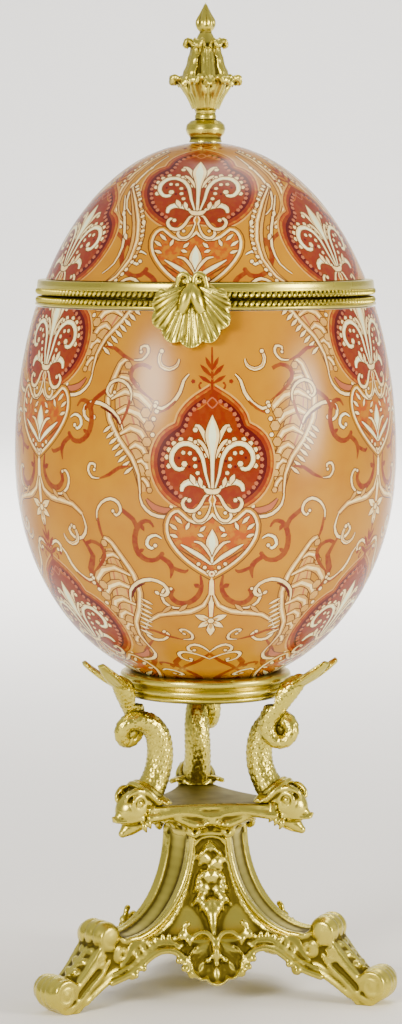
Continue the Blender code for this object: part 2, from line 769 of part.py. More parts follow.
def build_dolphins(collection, cutters):
    """Three dolphins over the legs, each let into the platform's corner and the ring."""
    mesh = dolphin_mesh()
    saddle = Casting()
    saddle.place = stand_frame(0.0)
    top = PLATFORM_TOP_Z + GAP
    saddle.slab(platform_outline(2.6 * MM), PLATFORM_TOP_Z - PLATFORM_THICKNESS - 2.0 * MM, top)
    platform = add_cutter("platform_clearance", mesh_from(saddle.bm, "platform_clearance"), cutters)
    sleeve = Casting()
    ring_edge = RING_OUTER_RADIUS + GAP + 0.1 * MM
    sleeve.turn(
        [
            (0.0, RING_TOP_Z + 8.0 * MM),
            (ring_edge, RING_TOP_Z + 8.0 * MM),
            (ring_edge, RING_BOTTOM_Z - 2.0 * MM),
            (ring_edge - 3.0 * MM, RING_BOTTOM_Z - 4.0 * MM),
            (0.0, RING_BOTTOM_Z - 4.0 * MM),
        ],
        96,
    )
    ring = add_cutter("ring_clearance", mesh_from(sleeve.bm, "ring_clearance"), cutters)
    for name, azimuth in zip(("dolphin_right", "dolphin_back", "dolphin_left"), LEG_AZIMUTHS):
        obj = add_object(name, mesh.copy(), collection, BRASS)
        obj.rotation_euler.z = math.radians(azimuth + STAND_TURN - 90.0)
        cut_by(obj, platform)
        cut_by(obj, ring)


def build_support_ring(collection):
    """Moulded ring: rolled top lip, groove, bead and a flat lower lip, with a seat for the egg."""
    outer = RING_OUTER_RADIUS
    top, low, inner = RING_TOP_Z, RING_BOTTOM_Z, RING_INNER_RADIUS
    profile = [(inner + 2.0 * MM, top - 0.1 * MM), (outer - 1.4 * MM, top)]
    lip = 1.5 * MM
    bead = 1.3 * MM
    for angle in (35.0, -35.0):
        turn = math.radians(angle)
        profile.append((outer - lip + lip * math.cos(turn), top - lip + lip * math.sin(turn)))
    profile += [(outer - 2.6 * MM, top - 4.0 * MM)]
    for angle in (50.0, -50.0):
        turn = math.radians(angle)
        profile.append(
            (outer - 2.7 * MM + bead * math.cos(turn), top - 6.0 * MM + bead * math.sin(turn))
        )
    profile += [
        (outer - 3.0 * MM, top - 7.6 * MM),
        (outer - 3.0 * MM, low),
        (inner, low),
        (inner, top - 0.75 * MM),
    ]
    turned("support_ring", profile, collection, BRASS, closed=True)


def build_bowl(collection):
    """Lower shell of the egg, open at the top, with its true wall."""
    edge = RIM_PARTING_Z - 0.5 * GAP - BOWL_RIM_HEIGHT - GAP
    outside = egg_arc(edge, EGG_WIDEST_Z - EGG_BELOW, 0.0, EGG_LEVELS + 3)
    inside = egg_arc(edge, EGG_WIDEST_Z - EGG_BELOW, EGG_WALL, EGG_LEVELS - 1)
    inside[0] = (inside[0][0], edge)
    outside[-1] = (0.0, outside[-1][1])
    inside[-1] = (0.0, inside[-1][1])
    turned("bowl_shell", [*inside[::-1], *outside], collection, PORCELAIN)


def build_lid(collection):
    """Upper shell of the egg, closed at the top."""
    edge = RIM_PARTING_Z + 0.5 * GAP + LID_RIM_HEIGHT + GAP
    top = EGG_WIDEST_Z + EGG_ABOVE
    outside = egg_arc(top, edge, 0.0, EGG_LEVELS)
    inside = egg_arc(top, edge, EGG_WALL, EGG_LEVELS - 3)
    inside[-1] = (inside[-1][0], edge)
    outside[0] = (0.0, outside[0][1])
    inside[0] = (0.0, inside[0][1])
    turned("lid_shell", [*outside, *inside[::-1]], collection, PORCELAIN)


def rim_profile(low, high, flange_at_top):
    """A rim's section: a flat flange at the parting and a round rope beside the porcelain."""
    outer, inner = RIM_OUTER_RADIUS, RIM_INNER_RADIUS
    height = high - low
    rope = 0.27 * height
    side = []
    for angle in (60.0, 0.0, -60.0):
        turn = math.radians(angle)
        side.append((outer - rope + rope * math.cos(turn), rope * math.sin(turn)))
    if flange_at_top:
        middle = low + rope
        flange = [(outer - 0.3 * MM, high), (outer - 0.3 * MM, middle + 1.35 * rope)]
        side = flange + [(r, middle + z) for r, z in side]
        return [(inner, high), *side, (inner, low)]
    middle = high - rope
    flange = [(outer - 0.3 * MM, middle - 1.35 * rope), (outer - 0.3 * MM, low)]
    return [(inner, high), *[(r, middle + z) for r, z in side], *flange, (inner, low)]


def build_rims(collection):
    parting = RIM_PARTING_Z
    low = parting - 0.5 * GAP
    high = parting + 0.5 * GAP
    bowl = rim_profile(low - BOWL_RIM_HEIGHT, low, True)
    lid = rim_profile(high, high + LID_RIM_HEIGHT, False)
    turned("bowl_rim", bowl, collection, BRASS, closed=True)
    turned("lid_rim", lid, collection, BRASS, closed=True)


def knuckle_mesh(name, spans, leaf_low, leaf_high, leaf_half):
    """Hinge knuckles on the X axis, joined by a leaf that lies against the rim."""
    bm = bmesh.new()
    outer = HINGE_KNUCKLE_RADIUS
    for start, end in spans:
        middle = Matrix.Translation(((start + end) / 2.0, HINGE_Y, RIM_PARTING_Z))
        bmesh.ops.create_cone(
            bm,
            cap_ends=True,
            segments=16,
            radius1=outer,
            radius2=outer,
            depth=end - start,
            matrix=middle @ Matrix.Rotation(math.radians(90), 4, "Y"),
        )
    mesh = mesh_from(bm, name)
    leaf = bmesh.new()
    near = RIM_OUTER_RADIUS + GAP
    size = (2.0 * leaf_half, HINGE_LEAF, leaf_high - leaf_low)
    spot = (0.0, near + HINGE_LEAF / 2.0, (leaf_low + leaf_high) / 2.0)
    bmesh.ops.create_cube(
        leaf, size=1.0, matrix=Matrix.Translation(spot) @ Matrix.Diagonal((*size, 1.0))
    )
    return mesh, mesh_from(leaf, f"{name}_leaf")


def build_hinge(collection, cutters):
    """Two knuckles on the bowl's rim, one on the lid's, and the pin through them."""
    pin_axis = Matrix.Translation((0.0, HINGE_Y, RIM_PARTING_Z)) @ Matrix.Rotation(
        math.radians(90), 4, "Y"
    )
    bore = bmesh.new()
    bmesh.ops.create_cone(
        bore,
        cap_ends=True,
        segments=16,
        radius1=HINGE_HOLE_RADIUS,
        radius2=HINGE_HOLE_RADIUS,
        depth=4.0 * HINGE_HALF_LENGTH,
        matrix=pin_axis,
    )
    hole = add_cutter("hinge_hole", mesh_from(bore, "hinge_hole"), cutters)
    inner = HINGE_LID_HALF + GAP
    swing = bmesh.new()
    bmesh.ops.create_cone(
        swing,
        cap_ends=True,
        segments=16,
        radius1=HINGE_KNUCKLE_RADIUS + GAP,
        radius2=HINGE_KNUCKLE_RADIUS + GAP,
        depth=2.0 * inner,
        matrix=pin_axis,
    )
    swing_room = add_cutter("hinge_swing", mesh_from(swing, "hinge_swing"), cutters)
    outer_spans = ((-HINGE_HALF_LENGTH, -inner), (inner, HINGE_HALF_LENGTH))
    inner_span = ((-HINGE_LID_HALF, HINGE_LID_HALF),)
    leaf_end = 4.6 * MM
    leaf_start = 0.6 * MM
    halves = (
        ("hinge_bowl_leaf", outer_spans, -leaf_end, -leaf_start, HINGE_HALF_LENGTH),
        ("hinge_lid_leaf", inner_span, leaf_start, leaf_end, HINGE_LID_HALF),
    )
    for name, spans, low, high, half in halves:
        knuckles, leaf = knuckle_mesh(name, spans, RIM_PARTING_Z + low, RIM_PARTING_Z + high, half)
        obj = add_object(name, leaf, collection, BRASS)
        arms = add_cutter(f"{name}_knuckles", knuckles, cutters)
        join = obj.modifiers.new("Join the knuckles", "BOOLEAN")
        join.operation = "UNION"
        join.solver = "EXACT"
        join.object = arms
        cut_by(obj, hole)
        if spans is outer_spans:
            cut_by(obj, swing_room)
    pin = bmesh.new()
    bmesh.ops.create_cone(
        pin,
        cap_ends=True,
        segments=16,
        radius1=HINGE_PIN_RADIUS,
        radius2=HINGE_PIN_RADIUS,
        depth=2.0 * HINGE_HALF_LENGTH + 1.6 * MM,
        matrix=pin_axis,
    )
    add_object("hinge_pin", mesh_from(pin, "hinge_pin"), collection, BRASS)


def build_clasp(collection, cutters):
    """Scallop shell with a rolled hump and two small volutes, fixed to the lid's rim."""
    casting = Casting()
    casting.place = Matrix.Rotation(math.radians(-90), 4, "Z")
    front = RIM_OUTER_RADIUS
    top = (front + 2.4 * MM, CLASP_APEX_Z)
    bottom = (front + 6.4 * MM, CLASP_BOTTOM_Z)
    scallop(casting, top, bottom, SHELL_LOBES, 2.0 * MM, 3.6 * MM)
    umbo = (front + 4.2 * MM, 0.0, CLASP_APEX_Z - 6.0 * MM)
    casting.ball(umbo, (3.4 * MM, 4.6 * MM, 7.4 * MM))
    for side in (-1, 1):
        volute = [
            (front + 2.6 * MM, side * 1.6 * MM, CLASP_APEX_Z + 0.5 * MM),
            (front + 2.8 * MM, side * 2.0 * MM, CLASP_TOP_Z - 1.2 * MM),
            (front + 2.6 * MM, side * 4.4 * MM, CLASP_TOP_Z - 1.1 * MM),
            (front + 2.2 * MM, side * 5.9 * MM, CLASP_TOP_Z - 3.6 * MM),
            (front + 2.0 * MM, side * 7.0 * MM, CLASP_TOP_Z - 7.0 * MM),
            (front + 2.2 * MM, side * 9.6 * MM, CLASP_TOP_Z - 6.6 * MM),
            (front + 2.2 * MM, side * 11.6 * MM, CLASP_TOP_Z - 8.8 * MM),
        ]
        casting.tube(volute, [r * MM for r in (1.4, 1.2, 1.2, 1.5, 1.7, 1.6, 1.3)])
    mesh = casting.fused(FINE_VOXEL, CLASP_TRIANGLES)
    behind = Casting()
    wall = RIM_OUTER_RADIUS + GAP
    high = CLASP_TOP_Z + 8.0 * MM
    low = CLASP_BOTTOM_Z - 8.0 * MM
    middle = RIM_PARTING_Z - 8.0 * MM
    skin = [(egg_radius(z) + GAP, z) for z in (CLASP_BOTTOM_Z + 5.0 * MM, CLASP_BOTTOM_Z, low)]
    behind.turn([(0.0, high), (wall, high), (wall, middle), *skin, (0.0, low)], 128)
    cutter = add_cutter("clasp_clearance", mesh_from(behind.bm, "clasp_clearance"), cutters)
    obj = add_object("clasp_shell", mesh, collection, BRASS)
    cut_by(obj, cutter)


def build_finial(collection, cutters):
    """Turned core with a small and a large tier of curled leaves under a pointed bud."""
    casting = Casting()
    top = FINIAL_TOP_Z
    foot = EGG_WIDEST_Z + EGG_ABOVE - 1.0 * MM
    core = (
        (0.0, 0.0),
        (0.7, -1.4),
        (1.9, -5.0),
        (3.4, -9.2),
        (2.3, -11.2),
        (3.4, -13.0),
        (4.6, -17.0),
        (5.2, -21.0),
        (6.0, -26.0),
        (6.4, -29.0),
        (5.4, -34.0),
        (3.8, -39.5),
        (3.6, -41.2),
        (4.3, -42.6),
        (3.8, -44.2),
        (6.0, -45.0),
        (7.5, -47.0),
        (7.5, -49.0),
        (6.0, -51.2),
        (6.1, -54.6),
        (0.0, -54.6),
    )
    casting.turn([(radius * MM, top + drop * MM) for radius, drop in core])
    for number in range(FINIAL_LEAVES):
        turn = 360.0 * number / FINIAL_LEAVES + 12.0
        casting.place = Matrix.Rotation(math.radians(turn), 4, "Z")
        big = ((4.0, -40.0), (6.6, -35.0), (9.4, -31.0), (11.6, -28.2), (12.8, -29.2), (12.0, -30.8))
        leaf_plate(casting, [(r * MM, top + z * MM) for r, z in big], 3.9 * MM, 1.0 * MM, 1.6 * MM)
        small = ((4.2, -19.0), (5.0, -15.2), (6.6, -13.6), (8.0, -15.0), (7.6, -17.2))
        leaf_plate(casting, [(r * MM, top + z * MM) for r, z in small], 2.6 * MM, 0.7 * MM, 1.4 * MM)
    mesh = casting.fused(FINE_VOXEL, FINIAL_TRIANGLES)
    dome = Casting()
    levels = [foot - 8.0 * MM + step * MM for step in range(9)]
    skin = [(egg_radius(z) + GAP, z + GAP) for z in levels[::-1]]
    peak = (0.0, EGG_WIDEST_Z + EGG_ABOVE + GAP)
    dome.turn([peak, *skin, (0.0, levels[0])], 64)
    cutter = add_cutter("finial_clearance", mesh_from(dome.bm, "finial_clearance"), cutters)
    obj = add_object("finial", mesh, collection, BRASS)
    cut_by(obj, cutter)


def hang_lid(collection):
    """Parents the moving pieces to an empty on the hinge's axis, without moving them."""
    pivot = add_object("lid_pivot", None, collection)
    pivot.location = (0.0, HINGE_Y, RIM_PARTING_Z)
    pivot.empty_display_size = HINGE_HALF_LENGTH
    for name in ("lid_shell", "lid_rim", "hinge_lid_leaf", "clasp_shell", "finial"):
        piece = bpy.data.objects[name]
        piece.parent = pivot
        piece.matrix_parent_inverse = Matrix.Translation(pivot.location).inverted()


def main():
    clear_scene()
    parts = new_collection("egg_trinket_box")
    cutters = new_collection("cutters")
    build_stand_base(parts)
    build_dolphins(parts, cutters)
    build_support_ring(parts)
    build_bowl(parts)
    build_rims(parts)
    build_lid(parts)
    build_hinge(parts, cutters)
    build_clasp(parts, cutters)
    build_finial(parts, cutters)
    hang_lid(parts)


main()
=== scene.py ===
"""Looks of the egg trinket box: painted porcelain, rope rims, cast brass and a pale studio.

Metres and +Z up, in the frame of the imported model, with the shell clasp facing -Y. Sizes in the
sections below are written in millimetres, and MM turns them to metres.
"""

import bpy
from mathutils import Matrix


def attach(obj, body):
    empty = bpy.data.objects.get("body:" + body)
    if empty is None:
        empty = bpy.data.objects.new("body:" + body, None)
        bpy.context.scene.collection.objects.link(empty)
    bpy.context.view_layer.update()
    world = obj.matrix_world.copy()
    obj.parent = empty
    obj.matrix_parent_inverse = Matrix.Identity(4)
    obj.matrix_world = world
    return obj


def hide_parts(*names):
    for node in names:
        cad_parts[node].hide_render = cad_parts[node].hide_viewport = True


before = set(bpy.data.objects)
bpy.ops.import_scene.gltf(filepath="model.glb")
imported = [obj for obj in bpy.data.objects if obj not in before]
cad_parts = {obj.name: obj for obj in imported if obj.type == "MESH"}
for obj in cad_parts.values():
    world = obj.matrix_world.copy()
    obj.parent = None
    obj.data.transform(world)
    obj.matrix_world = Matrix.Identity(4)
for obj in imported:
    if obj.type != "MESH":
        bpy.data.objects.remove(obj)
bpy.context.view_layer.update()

import math

import bmesh
import bpy
import numpy as np
from bpy.props import FloatProperty, FloatVectorProperty, IntProperty, PointerProperty
from mathutils import Matrix, Vector, geometry, kdtree

bl_info = {
    "name": "Egg Trinket Box",
    "version": (1, 0, 0),
    "blender": (4, 5, 0),
    "location": "3D View > Sidebar > Egg Box",
    "description": "Paints a porcelain egg box and finishes its cast brass stand",
    "category": "Object",
}

MM = 0.001

# Egg: two half ovals that share the widest circle
EGG_RADIUS = 73.2
EGG_WIDEST_Z = 207.4
EGG_ABOVE = 119.7
EGG_BELOW = 88.7
EGG_FULLNESS = 2.06
EGG_WALL = 3.5
LID_EDGE_Z = 275.35
BOWL_EDGE_Z = 264.85

# Where the pattern's medallions sit, as distances down the skin from the egg's top. Columns stand
# 60 degrees apart, and every second one is dropped.
COLUMN_STEP = 60.0
LID_COLUMNS = ((46.8,), (70.8,))
BOWL_COLUMNS = ((152.6,), (109.0, 218.7))

# Bare caps at the two poles, under the finial and inside the support ring, along the skin
LID_CAP = 7.5
BOWL_CAP = 12.0

# Plain triangles under the pattern: how many across half a column, and how tall
GRID_ACROSS = 10
GRID_HEIGHT = 7.0

# Air left between a casting and what it passes, so that they never share a face
AIR_GAP = 0.3
WHITE = "#FBF7EF"


def linear(code):
    """A linear colour from sRGB hex."""
    parts = [int(code[place : place + 2], 16) / 255 for place in (1, 3, 5)]
    return [c / 12.92 if c <= 0.04045 else ((c + 0.055) / 1.055) ** 2.4 for c in parts]


def colour(name, code, text):
    return FloatVectorProperty(
        name=name, description=text, subtype="COLOR", size=3, min=0.0, max=1.0, default=linear(code)
    )


class EggPaint(bpy.types.PropertyGroup):
    """Colours of the overglaze enamels, and how far each half's pattern is turned."""

    amber: colour("Amber", "#AE7600", "Ground of the pattern")
    rust: colour("Rust", "#7A2406", "Medallion's field and palmette")
    maroon: colour("Maroon", "#4E0A06", "Band inside the medallion's edge")
    rose: colour("Rose", "#A85C3A", "Small scallops on the maroon band")
    ivory: colour("Ivory", "#F6DE9E", "Lily, volutes and pearls")
    aqua: colour("Aqua", "#E6F3CE", "Coolest lights on the lily")
    orange: colour("Orange", "#A24602", "Heart-shaped field")
    sienna: colour("Sienna", "#7C2A05", "Brown scrolls")
    umber: colour("Umber", "#5E3008", "Outlines")
    tan: colour("Tan", "#C89848", "Shaded side of the acanthus")
    lid_turn: FloatProperty(
        name="Lid turn",
        description="Azimuth of the lid's first column from the clasp",
        subtype="ANGLE",
        default=math.radians(0.5),
    )
    bowl_turn: FloatProperty(
        name="Bowl turn",
        description="Azimuth of the bowl's first column from the clasp",
        subtype="ANGLE",
        default=math.radians(6.2),
    )


class BrassFinish(bpy.types.PropertyGroup):
    """Tones of the polished brass."""

    brass: colour("Brass", "#CDBE50", "Polished metal")
    # Dark olive of the recesses: partly real patina, partly painted shade where the relief falls in
    # shadow
    patina_and_shade_tone: colour("Patina", "#5C5018", "Darkened recesses")
    roughness: FloatProperty(
        name="Roughness",
        description="Gloss of the worn high places",
        default=0.27,
        min=0.0,
        max=1.0,
    )


class Studio(bpy.types.PropertyGroup):
    """Camera, backdrop and lights."""

    backdrop: colour("Backdrop", "#F6F4F1", "Floor and wall")
    distance: FloatProperty(
        name="Camera distance",
        description="From the egg's axis to the camera, level",
        subtype="DISTANCE",
        default=1.3,
    )
    azimuth: FloatProperty(
        name="Camera azimuth",
        description="Turn of the camera about the egg's axis from the clasp",
        subtype="ANGLE",
        default=math.radians(4.3),
    )
    height: FloatProperty(
        name="Camera height", description="Above the floor", subtype="DISTANCE", default=0.304
    )
    pitch: FloatProperty(
        name="Camera pitch", description="Below level", subtype="ANGLE", default=math.radians(5.205)
    )
    lens_px: IntProperty(
        name="Focal length",
        description="In pixels of a frame 1024 high",
        subtype="PIXEL",
        default=3392,
    )


# Materials


def add_node(tree, kind, inputs=None, **settings):
    """Adds a node; inputs gives sockets a value or another node's output."""
    node = tree.nodes.new(kind)
    for name, value in settings.items():
        setattr(node, name, value)
    for socket, value in (inputs or {}).items():
        if isinstance(value, bpy.types.NodeSocket):
            tree.links.new(value, node.inputs[socket])
        else:
            node.inputs[socket].default_value = value
    return node


def new_material(name):
    """A material with a Principled shader, with its tree and that shader."""
    material = bpy.data.materials.new(name)
    material.use_nodes = True
    return material, material.node_tree, material.node_tree.nodes["Principled BSDF"]


def object_noise(tree, size_mm, detail):
    """Soft clouds whose lumps are about size_mm across."""
    place = add_node(tree, "ShaderNodeTexCoord")
    return add_node(
        tree,
        "ShaderNodeTexNoise",
        {"Vector": place.outputs["Object"], "Scale": 0.6 / (size_mm * MM), "Detail": detail},
    )


def mixed(tree, factor, first, second, blend="MIX"):
    """The colour output of a Mix node."""
    node = add_node(tree, "ShaderNodeMix", data_type="RGBA", blend_type=blend)
    for place, value in ((0, factor), (6, first), (7, second)):
        socket = node.inputs[place]
        if isinstance(value, bpy.types.NodeSocket):
            tree.links.new(value, socket)
        else:
            socket.default_value = value
    return node.outputs[2]


def ranged(tree, value, low, high, out_low, out_high):
    """A value carried from one range to another and held inside it."""
    node = add_node(
        tree,
        "ShaderNodeMapRange",
        {0: value, 1: low, 2: high, 3: out_low, 4: out_high},
        clamp=True,
    )
    return node.outputs[0]


def clouded(tree, size_mm, low, high):
    """A value that drifts from low to high in clouds of about size_mm."""
    clouds = object_noise(tree, size_mm, 3.0)
    return ranged(tree, clouds.outputs["Fac"], 0.3, 0.7, low, high)


def painted_glaze():
    """Hard-paste porcelain with overglaze enamels, fired to a gloss that mirrors the room.

    The dabs that mottle the enamels are drawn coarser than a brush leaves them, so that they show.
    """
    material, tree, shader = new_material("painted_glazed_porcelain")
    paint = add_node(tree, "ShaderNodeAttribute", attribute_name="paint")
    tone = clouded(tree, 9.0, 0.0, 1.0)
    worn = mixed(tree, tone, (0.92, 0.84, 0.72, 1.0), (1.06, 1.08, 1.1, 1.0))
    washed = mixed(tree, 1.0, paint.outputs["Color"], worn, "MULTIPLY")
    specks = object_noise(tree, 1.6, 4.0)
    dabs = ranged(tree, specks.outputs["Fac"], 0.44, 0.56, 0.0, 0.8)
    amount = add_node(
        tree, "ShaderNodeMath", {0: paint.outputs["Alpha"], 1: dabs}, operation="MULTIPLY"
    )
    amber = (*bpy.context.scene.egg_paint.amber, 1.0)
    mottled = mixed(tree, amount.outputs[0], washed, amber)
    tree.links.new(mottled, shader.inputs["Base Color"])
    shader.inputs["Roughness"].default_value = 0.24
    shader.inputs["IOR"].default_value = 1.5
    shader.inputs["Specular IOR Level"].default_value = 0.3
    return material


def white_glaze():
    """Clear-glazed white porcelain inside the box."""
    material, tree, shader = new_material("white_glazed_porcelain")
    tone = clouded(tree, 20.0, 0.0, 1.0)
    white = mixed(tree, tone, (*linear("#F2EBDD"), 1.0), (*linear(WHITE), 1.0))
    tree.links.new(white, shader.inputs["Base Color"])
    shader.inputs["Roughness"].default_value = 0.12
    shader.inputs["IOR"].default_value = 1.5
    return material


def worked_brass(name, grain_mm, bump):
    """Yellow brass, cast and burnished: bright where hands rub it, dull olive in its recesses,
    which is patina and painted shade.

    Its grain is drawn coarser than the real one, so that it still breaks up the reflections.
    """
    finish = bpy.context.scene.brass_finish
    material, tree, shader = new_material(name)
    recess = add_node(tree, "ShaderNodeAttribute", attribute_name="recess")
    drift = clouded(tree, 14.0, -0.1, 0.12)
    depth = add_node(tree, "ShaderNodeMath", {0: recess.outputs["Fac"], 1: drift}, operation="ADD")
    # Recesses are painted dark olive and rougher: partly patina, partly painted shade
    patina_and_shade_mix = ranged(tree, depth.outputs[0], 0.02, 0.6, 0.0, 1.0)
    metal = mixed(tree, patina_and_shade_mix, (*finish.brass, 1.0), (*finish.patina_and_shade_tone, 1.0))
    tree.links.new(metal, shader.inputs["Base Color"])
    rough = ranged(tree, patina_and_shade_mix, 0.0, 1.0, finish.roughness, finish.roughness + 0.35)
    tree.links.new(rough, shader.inputs["Roughness"])
    shader.inputs["Metallic"].default_value = 1.0
    grain = object_noise(tree, grain_mm, 2.0)
    relief = add_node(
        tree,
        "ShaderNodeBump",
        {"Strength": bump, "Distance": 0.05 * MM, "Height": grain.outputs["Fac"]},
    )
    tree.links.new(relief.outputs[0], shader.inputs["Normal"])
    return material


def studio_paper():
    """Matt seamless paper."""
    material, tree, shader = new_material("matt_studio_paper")
    tone = clouded(tree, 60.0, 0.0, 1.0)
    pale = bpy.context.scene.studio.backdrop
    shade = mixed(tree, tone, [c * 0.985 for c in pale] + [1.0], (*pale, 1.0))
    tree.links.new(shade, shader.inputs["Base Color"])
    shader.inputs["Roughness"].default_value = 0.9
    shader.inputs["Specular IOR Level"].default_value = 0.1
    return material


# Shared mesh tools


def smooth_path(points, steps):
    """A smooth curve through points of any size, with steps between each two."""
    ends = [Vector(points[0]), *map(Vector, points), Vector(points[-1])]
    path = []
    for before, start, end, after in zip(ends, ends[1:], ends[2:], ends[3:]):
        for step in range(steps):
            t = step / steps
            path.append(
                0.5
                * (
                    2 * start
                    + (end - before) * t
                    + (2 * before - 5 * start + 4 * end - after) * t**2
                    + (3 * start - before - 3 * end + after) * t**3
                )
            )
    path.append(ends[-1])
    return path


def placed(offsets, origin, side=1, scale=1.0):
    """Points at (out, across, up) from an origin; side mirrors them, scale enlarges them."""
    x, y, z = origin
    return [(x + a * scale, y + side * b * scale, z + c * scale) for a, b, c in offsets]


def mesh_from(bm, name):
    mesh = bpy.data.meshes.new(name)
    bm.to_mesh(mesh)
    bm.free()
    return mesh


def spin_profile(bm, profile, segments, closed):
    """Turns a profile of (radius, height) round Z; an open one starts and ends on the axis."""
    verts = [bm.verts.new((radius, 0.0, height)) for radius, height in profile]
    ends = verts[1:] + verts[:1] if closed else verts[1:]
    edges = [bm.edges.new(pair) for pair in zip(verts, ends)]
    bmesh.ops.spin(
        bm,
        geom=verts + edges,
        axis=(0, 0, 1),
        cent=(0, 0, 0),
        angle=math.tau,
        steps=segments,
        use_merge=True,
    )
    bmesh.ops.remove_doubles(bm, verts=bm.verts, dist=1e-3)
    bmesh.ops.recalc_face_normals(bm, faces=bm.faces[:])


def thicken(bm, shift):
    """Gives a sheet its second face, moved by shift(place), and the walls between."""
    made = bmesh.ops.extrude_face_region(bm, geom=bm.faces[:])["geom"]
    for item in made:
        if isinstance(item, bmesh.types.BMVert):
            item.co += shift(item.co)
    bmesh.ops.recalc_face_normals(bm, faces=bm.faces[:])


def show_piece(name, mesh, materials, body, nodes):
    """Links a finished mesh, hangs it on its body and says which solids it stands for."""
    obj = bpy.data.objects.new(name, mesh)
    bpy.context.scene.collection.objects.link(obj)
    for material in materials:
        mesh.materials.append(material)
    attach(obj, body)
    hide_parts(*nodes)
    return obj


def find_material(name, make):
    """The material of that name, made the first time it is asked for."""
    return bpy.data.materials.get(name) or make()


# Egg's own shape


def egg_meridian():
    """Rows of (distance down the skin from the top, radius, height), in millimetres."""
    angles = np.radians(np.linspace(90.0, -90.0, 721))
    power = 2.0 / EGG_FULLNESS
    radius = EGG_RADIUS * np.maximum(0.0, np.cos(angles)) ** power
    reach = np.where(angles > 0, EGG_ABOVE, EGG_BELOW)
    height = EGG_WIDEST_Z + reach * np.sign(angles) * np.abs(np.sin(angles)) ** power
    steps = np.hypot(np.diff(radius), np.diff(height))
    return np.concatenate([[0.0], np.cumsum(steps)]), radius, height


SKIN_V, SKIN_RADIUS, SKIN_HEIGHT = egg_meridian()


def skin_radius(v):
    return float(np.interp(v, SKIN_V, SKIN_RADIUS))


def skin_height(v):
    return float(np.interp(v, SKIN_V, SKIN_HEIGHT))


def skin_place(height):
    """Distance down the skin to a height."""
    return float(np.interp(-height, -SKIN_HEIGHT, SKIN_V))


# Painted pattern


def ribbon(points, widths, steps=2):
    """Outline of a brush stroke along a smooth path."""
    rows = smooth_path([(x, y, w) for (x, y), w in zip(points, widths)], steps)
    left, right = [], []
    for index, row in enumerate(rows):
        ahead = rows[min(index + 1, len(rows) - 1)]
        behind = rows[max(index - 1, 0)]
        along = Vector((ahead.x - behind.x, ahead.y - behind.y)).normalized()
        side = Vector((-along.y, along.x)) * row.z / 2.0
        spot = Vector((row.x, row.y))
        left.append(spot + side)
        right.append(spot - side)
    return left + right[::-1]


def tapered(count, width, start=0.35, end=0.35):
    """Widths of a stroke that swells in its middle."""
    widths = []
    for index in range(count):
        share = index / (count - 1)
        ends = start * (1.0 - share) + end * share
        widths.append(width * (ends + (1.0 - ends) * math.sin(math.pi * share)))
    return widths


# Brush lines are drawn coarser than on the porcelain, so that they still show in a small picture
OUTLINE = 0.42
STROKE_GAIN = {"sienna": 1.4}


class Brushwork:
    """Painted shapes in millimetres about a medallion's middle: x to one side, y down."""

    def __init__(self):
        self.shapes = []

    def area(self, outline, colour, inset=0.0, steps=2):
        """A filled area; its outline may be drawn inset, or outside where inset is negative."""
        path = [p.to_2d() for p in smooth_path([(x, y, 0.0) for x, y in outline], steps)]
        moved = []
        for index, point in enumerate(path):
            along = path[min(index + 1, len(path) - 1)] - path[max(index - 1, 0)]
            moved.append(point + Vector((-along.y, along.x)).normalized() * inset)
        self.shapes.append((colour, moved))

    def stroke(self, points, width, colour, edge="umber", start=0.35, end=0.35, light=None):
        """A swelling stroke with a thin edge, and a light along its middle if asked."""
        widths = tapered(len(points), width * STROKE_GAIN.get(colour, 1.0), start, end)
        if edge:
            self.shapes.append((edge, ribbon(points, [w + 2.0 * OUTLINE for w in widths])))
        self.shapes.append((colour, ribbon(points, widths)))
        if light:
            self.shapes.append((light, ribbon(points, [0.42 * w for w in widths], 1)))

    def curl(self, points, width, colour, edge="umber", light=None):
        """A stroke that ends in a ball."""
        self.stroke(points, width, colour, edge, 0.3, 0.7, light)
        self.dot(points[-1], 0.62 * width, colour, edge)

    def dot(self, centre, radius, colour, edge=None, sides=6):
        for tint, size in ((edge, radius + OUTLINE), (colour, radius)):
            if tint:
                angles = [math.tau * side / sides for side in range(sides)]
                arms = [Vector((math.cos(angle), math.sin(angle))) * size for angle in angles]
                self.shapes.append((tint, [Vector(centre) + arm for arm in arms]))

    def brown(self, points, width, start=0.35, end=0.35):
        """A brown scroll's stroke, which has no edge."""
        self.stroke(points, width, "sienna", None, start, end)

    def leaf(self, root, tip, width, colour, edge="umber"):
        """A pointed leaf from its root to its tip."""
        middle = [root[0] * 0.45 + tip[0] * 0.55, root[1] * 0.45 + tip[1] * 0.55]
        self.stroke([root, middle, tip], width, colour, edge, 0.25, 0.05)

    def pearls(self, path, spacing, offset, radius, colour, edge=None):
        """Dots beside a path."""
        rows = [p.to_2d() for p in smooth_path([(x, y, 0.0) for x, y in path], 8)]
        travelled = spacing / 2.0
        for here, ahead in zip(rows, rows[1:]):
            step = ahead - here
            travelled += step.length
            if travelled >= spacing:
                travelled -= spacing
                side = Vector((step.y, -step.x)).normalized() * offset
                self.dot(here + side, radius, colour, edge, 5)


